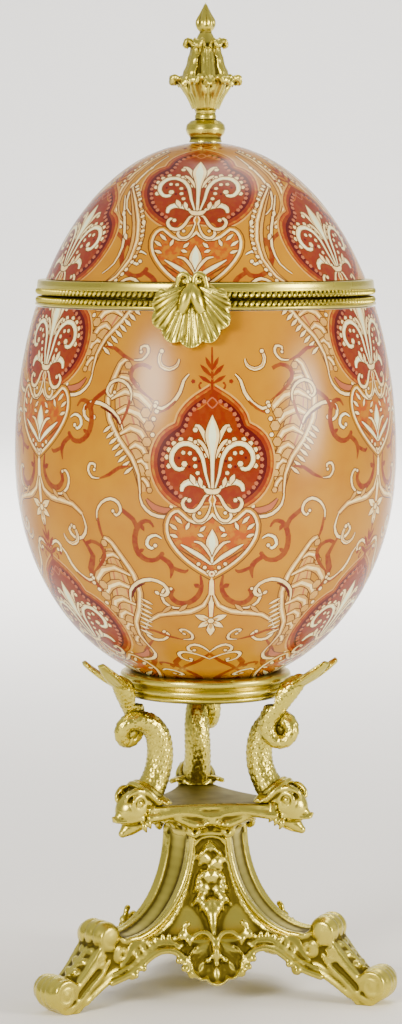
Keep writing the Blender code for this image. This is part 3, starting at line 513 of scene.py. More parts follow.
def paint_medallion(brush):
    """Ogee trefoil field, its scalloped border and the palmette on its tip."""
    brush.stroke([(0.0, -43.0), (0.0, -35.0), (0.0, -27.0)], 1.0, "rust", None, 0.6, 1.0)
    for tip, root, width in (
        ((2.4, -39.4), -34.6, 1.5),
        ((4.4, -36.6), -32.2, 1.7),
        ((5.0, -32.6), -29.6, 1.6),
    ):
        brush.leaf((0.2, root), tip, width, "rust", None)
    brush.leaf((0.0, -31.0), (2.9, -33.6), 0.7, "orange", None)
    brush.leaf((0.0, -34.0), (2.4, -36.4), 0.6, "orange", None)
    brush.dot((6.9, -30.4), 0.9, "rust", None, 5)
    brush.curl(
        [(0.0, -28.4), (2.4, -27.4), (4.2, -27.6), (4.8, -29.0), (4.2, -29.8)],
        0.8, "rust", None,
    )
    outline = (
        (0.0, -27.8), (2.2, -26.4), (5.6, -24.2), (9.0, -21.2), (11.4, -17.8), (12.6, -14.4),
        (15.4, -12.9), (18.8, -10.0), (21.0, -5.4), (21.6, -0.6), (20.8, 4.2), (18.4, 9.0),
        (14.6, 12.8), (10.6, 15.0), (8.2, 16.6), (6.2, 14.4), (3.0, 13.6), (0.0, 13.4),
    )
    brush.area(outline, "tan", -2.0)
    brush.area(outline, "sienna", -1.3)
    brush.area(outline, "orange", -0.8)
    brush.area(outline, "rust")
    border = (
        (2.6, -24.0), (6.2, -21.4), (9.2, -17.8), (10.6, -13.6), (13.4, -11.2), (16.6, -8.2),
        (18.5, -4.0), (18.9, 0.0), (18.0, 4.4), (15.6, 8.6), (12.4, 11.6), (9.0, 13.8),
    )
    brush.stroke(border, 2.9, "maroon", None, 0.3, 0.3)
    brush.pearls(border, 2.3, -0.55, 0.85, "rose")
    brush.stroke([(0.0, -24.6), (1.9, -22.6), (0.0, -20.6)], 0.5, "rose", None, 0.8, 0.8)
    brush.stroke([(2.0, -22.6), (4.6, -20.6), (7.2, -19.6)], 0.45, "orange", None, 0.8, 0.3)


def paint_lily(brush):
    """Ivory lily between two volutes, inside the medallion."""
    volute = (
        (0.9, 8.6), (2.5, 3.2), (3.5, -2.2), (5.6, -6.0), (8.8, -7.8), (12.2, -7.2), (14.6, -4.4),
        (14.9, -1.2), (13.2, 1.3), (11.0, 1.4), (10.2, -0.4),
    )
    brush.pearls(volute[2:9], 2.3, 1.6, 0.95, "ivory", "umber")
    brush.curl(volute, 1.75, "ivory", "umber", "aqua")
    brush.stroke(
        [(2.0, 8.8), (5.4, 6.8), (8.6, 6.2), (10.8, 7.6), (11.2, 9.6)],
        2.1, "ivory", "umber", 0.3, 0.5, "aqua",
    )
    brush.leaf((6.4, 7.0), (8.0, 3.4), 1.9, "ivory")
    brush.leaf((4.0, 8.0), (4.8, 4.4), 1.6, "ivory")
    brush.pearls(
        ((5.0, 3.8), (6.2, 0.8), (6.6, -2.6), (8.8, -4.6), (11.0, -4.4)),
        2.6, 0.0, 0.8, "ivory", "umber",
    )
    for tip in ((4.9, -1.4), (8.4, 0.6), (12.2, -2.6)):
        brush.dot(tip, 0.55, "maroon", None, 5)
    brush.curl(
        [(0.5, -3.0), (1.6, -7.2), (3.0, -10.8), (4.4, -13.4), (5.8, -14.2), (6.2, -12.8)],
        1.5, "ivory",
    )
    brush.curl([(0.5, -1.0), (2.0, -4.8), (3.6, -7.6), (5.2, -8.9), (6.2, -8.4)], 1.15, "ivory")
    lily = (
        (0.0, -18.2), (1.2, -15.6), (2.3, -12.6), (2.5, -10.0), (1.7, -6.8), (0.95, -3.4),
        (0.6, 2.0), (0.5, 8.0), (0.0, 8.4),
    )
    brush.area(lily, "umber", -0.4)
    brush.area(lily, "ivory")
    brush.area([(x * 0.55, y * 0.86 - 1.3) for x, y in lily], "aqua")
    lower = (
        (0.0, 10.2), (2.6, 11.4), (4.2, 14.4), (6.6, 16.8), (9.6, 16.4), (10.9, 14.0), (9.8, 12.2),
        (8.4, 12.9),
    )
    brush.curl(lower, 1.25, "ivory")
    brush.stroke([(0.0, 9.8), (1.6, 9.6), (3.0, 8.6)], 1.8, "ivory", "umber", 0.9, 0.3)
    brush.area(((0.0, 11.0), (1.0, 12.8), (0.0, 15.0)), "ivory", -0.35)
    brush.area(((0.0, 11.2), (0.8, 12.8), (0.0, 14.6)), "amber")


def paint_heart(brush):
    """Mottled orange heart under the medallion, edged with ivory leaves."""
    heart = (
        (0.0, 17.0), (4.0, 20.6), (8.6, 19.4), (12.2, 16.2), (15.6, 17.6), (17.4, 22.0),
        (16.6, 27.4), (13.2, 32.8), (8.8, 37.2), (4.2, 40.6), (0.0, 43.2),
    )
    brush.area(heart, "umber", -0.9)
    brush.area(heart, "amber", -0.45)
    brush.area(heart, "ivory", 0.3)
    brush.area(heart, "umber", 1.2)
    brush.area(heart, "orange", 1.7)
    brush.curl(
        [(0.5, 13.8), (1.3, 17.2), (3.0, 20.0), (5.4, 20.6), (6.9, 18.8), (6.0, 16.9), (4.7, 17.6)],
        1.05, "ivory",
    )
    drop = (
        (0.0, 23.6), (1.7, 26.8), (2.2, 29.4), (1.2, 31.4), (0.5, 33.0), (0.45, 37.0), (0.0, 37.4),
    )
    brush.area(drop, "umber", -0.4)
    brush.area(drop, "ivory")
    brush.area([(x * 0.55, y * 0.9 + 2.9) for x, y in drop], "aqua")
    brush.stroke([(0.3, 34.6), (1.9, 31.6), (4.2, 29.0), (6.6, 28.4)], 1.1, "ivory")
    brush.stroke(
        [(0.4, 37.4), (3.6, 34.6), (7.6, 32.0), (11.4, 29.6)],
        1.7, "ivory", "umber", 0.3, 0.2, "aqua",
    )
    brush.stroke([(5.0, 36.0), (8.6, 33.6), (12.0, 31.4)], 0.7, "umber", None)
    for root, tip in (
        ((13.6, 19.0), (11.0, 21.6)),
        ((15.6, 21.8), (12.8, 24.0)),
        ((15.4, 25.8), (12.6, 26.8)),
        ((2.6, 22.6), (4.6, 24.6)),
        ((8.4, 21.2), (9.6, 24.0)),
        ((3.2, 26.4), (5.4, 25.6)),
    ):
        brush.leaf(root, tip, 1.3, "ivory")
    for spot in ((2.6, 38.6), (4.9, 37.2), (1.2, 40.4)):
        brush.dot(spot, 0.75, "ivory", "umber", 6)
    brush.dot((0.0, 41.2), 1.3, "ivory", "umber")
    brush.dot((0.0, 41.2), 0.5, "rust")


def paint_scrolls(brush):
    """Brown C-scrolls and zigzags beside the heart, with ivory curls in their hollows."""
    brush.brown([(36.4, 14.6), (33.6, 17.4), (29.6, 20.4), (28.2, 23.4)], 1.3, 0.2, 1.0)
    hook = (
        (21.6, 23.2), (23.2, 21.0), (26.2, 21.4), (28.4, 24.6), (28.9, 29.4), (27.4, 33.6),
        (24.0, 36.0), (20.4, 35.6), (18.4, 33.4),
    )
    brush.curl(hook, 1.6, "sienna", None)
    brush.leaf((26.8, 21.8), (25.2, 24.8), 1.2, "sienna", None)
    brush.leaf((27.6, 33.0), (25.2, 31.6), 1.2, "sienna", None)
    brush.curl(
        [(18.6, 27.4), (20.8, 26.2), (23.4, 27.2), (24.2, 29.8), (22.4, 31.4), (21.0, 30.2)],
        1.25, "ivory", "umber", "aqua",
    )
    brush.brown([(19.0, 34.6), (16.0, 36.6), (14.6, 39.4), (15.2, 43.2)], 1.5, 0.8, 0.2)
    brush.brown([(15.6, 38.2), (12.6, 39.6), (9.8, 40.4), (8.6, 39.4)], 1.1, 0.9, 0.3)
    hollow = (
        (4.2, 41.8), (3.6, 46.2), (5.0, 50.6), (8.4, 53.6), (12.4, 53.6), (15.0, 50.8),
        (14.4, 48.2),
    )
    brush.curl(hollow, 1.65, "sienna", None)
    brush.leaf((4.0, 47.0), (6.6, 45.4), 1.5, "sienna", None)
    brush.curl(
        [(9.0, 55.8), (13.6, 56.0), (17.4, 53.6), (18.4, 49.8), (16.8, 47.2), (15.0, 47.6)],
        1.0, "ivory",
    )
    volute = (
        (44.6, 21.6), (44.8, 18.0), (42.6, 14.6), (38.8, 13.0), (35.6, 14.4), (34.6, 17.4),
        (36.4, 19.2), (37.8, 17.6),
    )
    brush.curl(volute, 1.05, "ivory")
    brush.brown([(44.4, 20.4), (43.4, 25.0), (41.0, 30.6)], 0.9, 0.8, 0.2)


def paint_upper_scrolls(brush):
    """Curls and brown flanks beside the palmette, where the columns stand wide apart."""
    brush.curl(
        [(12.0, -38.6), (12.8, -36.2), (15.6, -34.8), (18.6, -36.0), (19.4, -39.0), (18.4, -41.4)],
        1.3, "ivory", "umber", "tan",
    )
    brush.curl(
        [(8.4, -33.0), (10.4, -30.6), (11.8, -26.4), (14.8, -22.4), (18.6, -20.4), (21.0, -21.4)],
        1.2, "ivory",
    )
    brush.brown([(13.4, -23.4), (16.2, -20.6), (19.6, -18.8)], 0.8)
    brush.brown(
        [(21.6, -23.4), (26.0, -26.4), (30.2, -31.2), (29.4, -35.0), (25.6, -36.4), (22.4, -35.0)],
        1.2, 0.2, 0.9,
    )


def paint_acanthus(brush):
    """Pale acanthus that sweeps up each side of the medallion, with a comb of short strokes."""
    body = (
        (25.4, 10.0), (25.8, 3.6), (27.4, -3.6), (30.4, -11.2), (32.6, -19.4), (33.4, -27.0),
        (32.8, -34.0),
    )
    brush.stroke(body, 8.6, "tan", "umber", 0.35, 0.3)
    brush.stroke(body, 5.4, "rose", None, 0.3, 0.2)
    brush.stroke(body, 3.9, "tan", None, 0.3, 0.2)
    for path, width in (
        (((27.4, 5.4), (25.6, 5.2), (24.0, 7.0), (23.2, 9.4)), 1.7),
        (((28.6, -0.4), (26.4, -1.4), (24.4, 0.2), (23.6, 3.2)), 2.1),
        (((31.6, -5.2), (28.6, -7.2), (25.8, -5.8), (24.2, -2.4)), 2.5),
        (((35.4, -10.4), (30.6, -13.2), (26.6, -11.8), (24.2, -8.2)), 2.8),
        (((38.4, -17.0), (32.4, -20.0), (27.2, -18.2), (23.4, -14.0)), 3.1),
        (((38.6, -23.4), (32.8, -26.4), (27.0, -25.0), (23.0, -21.2), (24.6, -18.8)), 3.0),
        (((37.4, -29.4), (34.0, -31.8), (30.6, -31.0), (28.4, -28.4)), 2.2),
    ):
        brush.curl(path, width, "tan", "umber", "ivory")
    for spot in (
        (20.6, -22.4), (20.4, -19.4), (21.6, -16.6), (22.0, -10.8), (22.4, -4.6), (22.2, 1.6),
    ):
        brush.dot(spot, 0.85, "ivory", "umber", 6)
    stem = (
        (26.8, 11.0), (27.4, 4.0), (30.2, -2.6), (35.2, -8.8), (39.2, -16.4), (39.8, -24.0),
        (37.4, -30.8), (34.6, -36.4), (32.4, -38.0), (31.4, -36.0),
    )
    brush.curl(stem, 2.2, "tan", "umber", "ivory")
    for step in range(8):
        share = step / 7
        root = (29.8 + 8.6 * share, 1.2 - 15.0 * share)
        brush.leaf(root, (root[0] + 3.4, root[1] + 2.6), 1.2, "ivory")
    lens = ((27.0, 10.8), (26.0, 14.8), (22.4, 18.2), (17.6, 19.2), (14.4, 17.6), (15.0, 15.2))
    brush.stroke(
        [(24.4, 12.6), (21.6, 15.6), (17.6, 16.8), (15.4, 16.2)],
        2.2, "rose", "umber", 0.2, 0.4,
    )
    brush.curl(lens, 1.15, "ivory")
    brush.brown([(30.6, 0.8), (35.0, 1.4), (39.4, 4.2), (43.8, 5.8)], 1.1, 0.3, 0.3)
    brush.curl(
        [(43.6, 5.6), (46.8, 5.4), (48.6, 2.8), (47.6, 0.4), (45.4, 0.8), (45.8, 2.6)],
        0.95, "ivory",
    )
    crest = (
        (33.6, -12.4), (35.6, -17.0), (40.4, -20.8), (46.0, -22.2), (50.0, -20.4), (50.4, -17.2),
        (48.0, -15.4), (46.0, -16.6),
    )
    brush.curl(crest, 1.35, "ivory")
    brush.stroke([(35.0, -14.0), (38.2, -18.2), (43.0, -20.4)], 0.9, "maroon", None)


def paint_lid_sides(brush):
    """Pearled strands that fill the narrow gap between two medallions near the top."""
    centre = LID_COLUMNS[0][0]

    def at(angle, v):
        return math.radians(angle) * skin_radius(v), v - centre

    strand = ((40, 20), (47, 27), (50, 36), (49, 44), (45, 52), (38, 59), (31, 63))
    strand = [at(*spot) for spot in strand]
    brush.stroke(strand, 4.6, "tan", "umber", 0.3, 0.3)
    brush.curl(strand, 1.6, "tan", "umber", "ivory")
    brush.pearls(strand, 2.5, 1.5, 0.8, "ivory", "umber")
    inner = [at(*spot) for spot in ((33, 24), (37, 31), (40, 39), (40, 47), (36, 54), (30, 58))]
    brush.stroke(inner, 0.9, "ivory")
    for angle, v in ((52, 30), (54, 38), (42, 44), (38, 34)):
        root = at(angle, v)
        brush.leaf(root, (root[0] - 2.2, root[1] - 2.6), 1.3, "ivory")


def paint_stem(brush):
    """Twin stem under the heart, its side branches and the diamond of petals at its foot."""
    brush.stroke([(0.0, 42.4), (0.0, 50.0), (0.0, 60.0)], 2.0, "ivory", "sienna", 0.6, 0.6)
    branch = (
        (0.8, 50.0), (2.8, 54.8), (7.6, 57.6), (13.6, 58.4), (19.4, 59.6), (23.6, 63.0),
        (24.6, 68.0), (21.8, 72.0), (17.6, 72.2), (15.6, 69.4), (17.4, 67.8),
    )
    brush.stroke(branch[:6], 2.5, "tan", "umber", 0.3, 0.6, "ivory")
    brush.curl(branch[5:], 1.2, "ivory")
    brush.leaf((12.0, 57.6), (8.8, 54.4), 1.6, "tan")
    brush.leaf((18.0, 58.4), (14.6, 55.2), 1.6, "tan")
    for root, tip, width in (
        ((0.0, 62.0), (5.8, 59.2), 2.6),
        ((0.0, 62.0), (4.6, 65.2), 2.4),
        ((0.0, 63.0), (0.0, 69.4), 3.0),
    ):
        brush.leaf(root, tip, width, "ivory", "umber")
        middle = (0.5 * (root[0] + tip[0]), 0.5 * (root[1] + tip[1]))
        brush.leaf(root, middle, 0.5 * width, "tan", None)
    brush.dot((0.0, 62.0), 1.2, "ivory", "umber")
    brush.curl(
        [(0.0, 79.0), (2.6, 76.0), (5.8, 74.6), (8.2, 76.2), (7.4, 78.6), (5.8, 78.0)],
        1.2, "ivory",
    )
    brush.brown([(0.0, 80.0), (4.0, 85.0), (8.6, 89.0), (12.0, 94.0)], 1.4, 0.6, 0.6)
    brush.brown(
        [(21.6, 72.6), (24.6, 79.0), (21.4, 84.6), (22.0, 90.0), (24.0, 96.0)],
        2.0, 0.3, 0.9,
    )


def bowl_motif():
    """Every shape of one column's half on the bowl, in the order they are painted."""
    brush = Brushwork()
    paint_acanthus(brush)
    paint_scrolls(brush)
    paint_upper_scrolls(brush)
    paint_stem(brush)
    paint_medallion(brush)
    paint_heart(brush)
    paint_lily(brush)
    return brush.shapes


def lid_motif():
    """The same column on the lid, with strands in place of the wide acanthus."""
    brush = Brushwork()
    paint_lid_sides(brush)
    paint_scrolls(brush)
    paint_medallion(brush)
    paint_heart(brush)
    paint_lily(brush)
    return brush.shapes


def unrolled(shape, centre_v, dropped):
    """A shape's points as (angle in degrees from the first column, distance down the skin)."""
    points = []
    for x, y in shape:
        v = centre_v + y
        angle = math.degrees(x / max(skin_radius(min(max(v, 4.0), 270.0)), 6.0))
        points.append((COLUMN_STEP - angle if dropped else angle, v))
    return points


def signed_area(points):
    return 0.5 * sum(a[0] * b[1] - b[0] * a[1] for a, b in zip(points, points[1:] + points[:1]))


def clipped(points, axis, limit, keep_above):
    """A polygon cut off at a line, on the side that keep_above names."""
    kept = []
    for first, second in zip(points, points[1:] + points[:1]):
        inside = (first[axis] >= limit) == keep_above or first[axis] == limit
        enters = (second[axis] >= limit) == keep_above or second[axis] == limit
        if inside:
            kept.append(first)
        if inside != enters:
            share = (limit - first[axis]) / (second[axis] - first[axis])
            spot = [
                first[0] + (second[0] - first[0]) * share,
                first[1] + (second[1] - first[1]) * share,
            ]
            spot[axis] = limit
            kept.append(tuple(spot))
    return kept


def domain_shapes(motif, v_top, v_low, columns):
    """(colour, polygon) of everything painted on half a column, in painting order."""
    placed = []
    for dropped, centres in enumerate(columns):
        for centre in centres:
            placed += [(colour, unrolled(shape, centre, dropped)) for colour, shape in motif]
    shapes = []
    for colour, points in placed:
        for axis, limit, above in (
            (0, 0.0, True),
            (0, COLUMN_STEP, False),
            (1, v_top, True),
            (1, v_low, False),
        ):
            points = clipped(points, axis, limit, above) if points else points
        if len(points) > 2 and abs(signed_area(points)) > 0.002:
            shapes.append((colour, points if signed_area(points) > 0.0 else points[::-1]))
    return shapes


def painted_half(motif, v_top, v_low, columns):
    """Half a column cut into triangles along its brush strokes.

    Returns points (angle, distance down the skin), triangles, and a colour name for each.
    """
    to_mm = math.radians(1.0) * EGG_RADIUS
    shapes = domain_shapes(motif, v_top, v_low, columns)
    points, edges = [], []
    for _, polygon in shapes:
        first = len(points)
        count = len(polygon)
        edges += [(first + place, first + (place + 1) % count) for place in range(count)]
        points += [Vector((angle * to_mm, v)) for angle, v in polygon]
    down = round((v_low - v_top) / GRID_HEIGHT)
    for row in range(down + 1):
        height = v_top + (v_low - v_top) * row / down
        for step in range(GRID_ACROSS + 1):
            points.append(Vector((COLUMN_STEP * to_mm * step / GRID_ACROSS, height)))
    found = geometry.delaunay_2d_cdt(points, edges, [], 0, 1e-3, True)
    places = np.array([(p.x / to_mm, p.y) for p in found[0]])
    triangles = np.array(found[2])
    return places, triangles, colours_at(places[triangles].mean(axis=1), shapes)


def colours_at(spots, shapes):
    """Name of the topmost shape's colour at each spot; bare ground is amber."""
    names = np.full(len(spots), "amber", dtype=object)
    for name, polygon in shapes:
        outline = np.array(polygon)
        low, high = outline.min(axis=0), outline.max(axis=0)
        near = np.flatnonzero(((spots >= low) & (spots <= high)).all(axis=1))
        x, y = spots[near, 0][:, None], spots[near, 1][:, None]
        ax, ay = outline.T
        bx, by = np.roll(outline, -1, axis=0).T
        side = (bx - ax) * (y - ay) - (x - ax) * (by - ay)
        winding = ((ay <= y) & (by > y) & (side > 0.0)).sum(axis=1)
        winding -= ((ay > y) & (by <= y) & (side < 0.0)).sum(axis=1)
        names[near[winding != 0]] = name
    return list(names)


def paint_table(colours):
    """Rows of linear colour; the fourth number says how mottled it is."""
    paint = bpy.context.scene.egg_paint
    mottle = {"orange": 0.85, "ivory": 0.25, "tan": 0.4, "rust": 0.08, "sienna": 0.2}
    return np.array([(*getattr(paint, name), mottle.get(name, 0.0)) for name in colours])


def painted_shell(name, motif, span, columns, turn, cap, lining):
    """A half of the egg: its painted skin, the cap at its pole and its white lining.

    span is where the skin starts and ends. cap and lining are rows of (radius, height) that carry
    its two open edges on.
    """
    v_top, v_low = span
    places, triangles, colours = painted_half(motif, v_top, v_low, columns)
    table = paint_table(colours)
    angles, downs, faces, tints = [], [], [], []
    for repeat in range(3):
        for flip in (1.0, -1.0):
            start = len(places) * (2 * repeat + (flip < 0.0))
            angles.append(2.0 * COLUMN_STEP * repeat + flip * places[:, 0])
            downs.append(places[:, 1])
            faces.append((triangles if flip > 0.0 else triangles[:, ::-1]) + start)
            tints.append(table)
    angles, downs = np.concatenate(angles), np.concatenate(downs)
    faces, tints = np.concatenate(faces), np.concatenate(tints)
    _, first, merged = np.unique(
        np.stack([np.round((angles % 360.0) * 1e4) % 3_600_000, np.round(downs * 1e4)]),
        axis=1,
        return_index=True,
        return_inverse=True,
    )
    merged = merged.reshape(-1)
    around = np.radians(angles[first]) + turn
    radius = np.interp(downs[first], SKIN_V, SKIN_RADIUS)
    height = np.interp(downs[first], SKIN_V, SKIN_HEIGHT)
    verts = np.stack([radius * np.sin(around), -radius * np.cos(around), height], axis=1)
    slope = np.gradient(SKIN_RADIUS, SKIN_V), np.gradient(SKIN_HEIGHT, SKIN_V)
    lean = [np.interp(downs[first], SKIN_V, part) for part in slope]
    normals = np.stack([-lean[1] * np.sin(around), lean[1] * np.cos(around), lean[0]], axis=1)
    welded = merged[faces]
    # A triangle that the welding closed up can crash the call that sets the normals
    spread = (welded != np.roll(welded, 1, axis=1)).all(axis=1)
    welded, faces, tints = welded[spread], faces[spread], tints[spread]
    a, b, c = (verts[welded[:, k]] for k in range(3))
    inward = (np.cross(b - a, c - a) * normals[welded[:, 0]]).sum(axis=1) <= 0.0
    welded[inward] = welded[inward][:, ::-1]
    faces[inward] = faces[inward][:, ::-1]

    mesh = bpy.data.meshes.new(name)
    uv_u, uv_v = (angles + COLUMN_STEP) / 360.0, downs / SKIN_V[-1]
    more_verts, more_faces, more_uv, more_normals = [], [], [], []
    cap_at_top = cap[0][1] > lining[0][1]
    for edge_v, at_top in ((v_low, False), (v_top, True)):
        outward = at_top == cap_at_top
        rows = cap if outward else lining
        ring = np.flatnonzero(np.abs(downs[first] - edge_v) < 1e-3)
        ring = sorted(ring, key=lambda place: around[place])
        grown = more_verts, more_faces, more_uv, more_normals
        carry_edge(ring, around, rows, outward, len(verts), grown)
    all_verts = np.concatenate([verts, more_verts]) * MM
    face_list = welded.tolist() + more_faces
    mesh.from_pydata(all_verts.tolist(), [], face_list)
    uv = mesh.uv_layers.new(name="OFBake")
    flat = faces.reshape(-1)
    painted = np.stack([uv_u[flat], uv_v[flat]], axis=1)
    uv.data.foreach_set("uv", np.concatenate([painted, more_uv]).ravel().astype(np.float32))
    paint = mesh.attributes.new("paint", "FLOAT_COLOR", "CORNER")
    white = np.tile((*linear(WHITE), 0.0), (len(more_uv), 1))
    paint.data.foreach_set("color", np.concatenate([np.repeat(tints, 3, axis=0), white]).ravel())
    slots = [0] * len(welded) + [1] * len(more_faces)
    mesh.polygons.foreach_set("material_index", slots)
    mesh.shade_smooth()
    mesh.normals_split_custom_set_from_vertices(np.concatenate([normals, more_normals]).tolist())
    return mesh


def carry_edge(ring, around, rows, outward, start, grown):
    """Carries a ring of the skin through rows of (radius, height); a last radius of 0 is a pole.

    grown is the lists that take the new points, faces, UV corners and normals.
    """
    verts, faces, uvs, normals = grown
    count = len(ring)
    before = list(ring)
    reach = len(rows)
    rising = rows[0][1] <= rows[-1][1]
    sign = 1.0 if rising == outward else -1.0
    for number, (radius, height) in enumerate(rows):
        ahead = rows[min(number + 1, reach - 1)]
        back = rows[max(number - 1, 0)]
        along = Vector((ahead[0] - back[0], ahead[1] - back[1])).normalized()
        here = []
        for index in ring if radius > 0.0 else ring[:1]:
            turn = around[index]
            here.append(start + len(verts))
            verts.append((radius * math.sin(turn), -radius * math.cos(turn), height))
            lean = sign * along.y
            normals.append((lean * math.sin(turn), -lean * math.cos(turn), -sign * along.x))
        for place in range(count):
            after = (place + 1) % count
            if radius > 0.0:
                face = [before[place], before[after], here[after], here[place]]
            else:
                face = [before[place], before[after], here[0]]
            faces.append(face if sign > 0.0 else face[::-1])
            low, high = number / (reach + 1), (number + 1) / (reach + 1)
            corners = [(place / count, low), ((place + 1) / count, low)]
            corners += [((place + 1) / count, high), (place / count, high)][: len(face) - 2]
            uvs.extend(corners if sign > 0.0 else corners[::-1])
        before = here


# Castings


class Casting:
    """Closed shapes in millimetres that overlap where they join, fused into one skin at the end."""

    def __init__(self):
        self.bm = bmesh.new()
        self.place = Matrix()

    def take(self, bm):
        mesh = mesh_from(bm, "shape")
        mesh.transform(self.place)
        self.bm.from_mesh(mesh)
        bpy.data.meshes.remove(mesh)

    def ball(self, centre, radii, turn=None, segments=24):
        """An ellipsoid; turn is a rotation matrix about its centre."""
        bm = bmesh.new()
        if isinstance(radii, float):
            radii = (radii,) * 3
        spot = Matrix.Translation(centre) @ (turn or Matrix()) @ Matrix.Diagonal((*radii, 1.0))
        bmesh.ops.create_uvsphere(
            bm, u_segments=segments, v_segments=segments // 2 + 2, radius=1.0, matrix=spot
        )
        self.take(bm)

    def tube(self, points, radii, steps=6, flat=1.0, flat_along=None):
        """A bar through points with rounded ends; flat squeezes it along a direction."""
        if isinstance(radii, float):
            radii = (radii,) * len(points)
        rings = swept_rings(smooth_path([(*p, r) for p, r in zip(points, radii)], steps))
        bm = bmesh.new()
        bmesh.ops.create_grid(bm, x_segments=16, y_segments=len(rings) - 1, size=1.0)
        for vert in bm.verts:
            centre, side, up, radius = rings[round((vert.co.y + 1.0) / 2.0 * (len(rings) - 1))]
            angle = math.pi * vert.co.x
            offset = (side * math.cos(angle) + up * math.sin(angle)) * radius
            if flat_along:
                offset -= flat_along * offset.dot(flat_along) * (1.0 - flat)
            vert.co = centre + offset
        bmesh.ops.remove_doubles(bm, verts=bm.verts, dist=1e-4)
        bmesh.ops.recalc_face_normals(bm, faces=bm.faces[:])
        self.take(bm)

    def plate(self, shape, across, along, thickness, back=None):
        """A bent plate: shape(u, v) gives its face, for u from -1 to 1 and v from 0 to 1.

        Its thickness follows its own curve, or goes straight along a back vector.
        """
        bm = bmesh.new()
        bmesh.ops.create_grid(bm, x_segments=across, y_segments=along, size=1.0)
        for vert in bm.verts:
            vert.co = shape(vert.co.x, (vert.co.y + 1.0) / 2.0)
        bm.normal_update()
        normals = {vert.co.to_tuple(): vert.normal.copy() for vert in bm.verts}
        thicken(bm, lambda co: (back or normals[co.to_tuple()]) * thickness)
        self.take(bm)

    def slab(self, outline, offset, length):
        """A flat outline moved by offset(point), and thickened by the vector length(point)."""
        bm = bmesh.new()
        bm.faces.new([bm.verts.new(Vector(p) + offset(p)) for p in outline])
        thicken(bm, length)
        self.take(bm)

    def drum(self, x, z, radius, half):
        """A rounded scroll across a leg, along local Y, with a groove each side of its middle."""
        rim = 0.8 * radius
        corner = [math.radians(15.0 * step) for step in range(7)]
        upper = [(radius - rim + rim * math.sin(a), half - rim + rim * math.cos(a)) for a in corner]
        groove = ((0.0, 0.95), (1.0, 0.65), (0.0, 0.35))
        upper += [(radius - deep, (half - rim) * share) for deep, share in groove]
        profile = [(0.0, half), *upper, *[(r, -h) for r, h in upper[::-1]], (0.0, -half)]
        hold = self.place
        self.place = hold @ Matrix.Translation((x, 0.0, z)) @ Matrix.Rotation(
            math.radians(90), 4, "X",
        )
        self.turn(profile, 40)
        self.place = hold

    def turn(self, profile, segments=96):
        """A solid turned about Z; the profile runs down from the axis and back to it."""
        bm = bmesh.new()
        spin_profile(bm, profile, segments, closed=False)
        self.take(bm)

    def fused(self, name, voxel, softened=2):
        """One closed mesh of everything added, still in millimetres."""
        obj = bpy.data.objects.new(name, mesh_from(self.bm, name))
        bpy.context.scene.collection.objects.link(obj)
        remesh = obj.modifiers.new("Fuse", "REMESH")
        remesh.mode = "VOXEL"
        remesh.voxel_size = voxel * 1.0
        smooth = obj.modifiers.new("Soften", "SMOOTH")
        smooth.factor = 0.5
        smooth.iterations = softened
        graph = bpy.context.evaluated_depsgraph_get()
        mesh = bpy.data.meshes.new_from_object(obj.evaluated_get(graph))
        mesh.name = name
        bpy.data.meshes.remove(obj.data)
        return mesh


def swept_rings(rows):
    """(centre, side, up, radius) along a path of (x, y, z, radius), with domed ends."""
    centres = [row.to_3d() for row in rows]
    count = len(rows)
    rings = []
    side = None
    last = None
    for index, row in enumerate(rows):
        ahead, behind = min(index + 1, count - 1), max(index - 1, 0)
        along = (centres[ahead] - centres[behind]).normalized()
        if side is None:
            side = along.orthogonal().normalized()
        else:
            side = last.rotation_difference(along) @ side
        last = along
        rings.append((centres[index], side.copy(), along.cross(side), row.w, along))
    domes = []
    for end, sign in ((rings[0], -1.0), (rings[-1], 1.0)):
        centre, side, up, radius, along = end
        dome = []
        for angle in (30.0, 60.0, 80.0, 90.0):
            turn = math.radians(angle)
            reach = centre + along * sign * radius * math.sin(turn)
            dome.append((reach, side, up, radius * max(0.0, math.cos(turn)), along))
        domes.append(dome)
    return [ring[:4] for ring in domes[0][::-1] + rings + domes[1]]


def mark_recesses(mesh, depth, rounds=20):
    """Stores how far each point lies under its surroundings, from 0 to 1: how much patina and
    painted shade the brass gets there.
    """
    count = len(mesh.vertices)
    points = np.empty(count * 3)
    mesh.vertices.foreach_get("co", points)
    points = points.reshape(-1, 3)
    normals = np.empty(count * 3)
    mesh.vertex_normals.foreach_get("vector", normals)
    ends = np.empty(len(mesh.edges) * 2, dtype=np.int32)
    mesh.edges.foreach_get("vertices", ends)
    a, b = ends.reshape(-1, 2).T
    degree = np.maximum(np.bincount(a, minlength=count) + np.bincount(b, minlength=count), 1)
    soft = points.copy()
    for _ in range(rounds):
        near = [
            np.bincount(a, soft[b, axis], count) + np.bincount(b, soft[a, axis], count)
            for axis in range(3)
        ]
        soft = np.stack(near, axis=1) / degree[:, None]
    sunk = ((soft - points) * normals.reshape(-1, 3)).sum(axis=1) / depth
    recess = mesh.attributes.new("recess", "FLOAT", "POINT")
    recess.data.foreach_set("value", np.clip(sunk, 0.0, 1.0).astype(np.float32))


def finished_casting(mesh, depth=0.5):
    """Marks a casting's recesses for patina and painted shade, and brings it from millimetres to
    metres.
    """
    mark_recesses(mesh, depth)
    mesh.transform(Matrix.Scale(MM, 4))
    mesh.shade_smooth()
    return mesh


def pushed(mesh, shift):
    """Moves each point along its normal by shift(point)."""
    normals = [Vector(n.vector) for n in mesh.vertex_normals]
    for vert, normal in zip(mesh.vertices, normals):
        vert.co += normal * shift(vert.co)


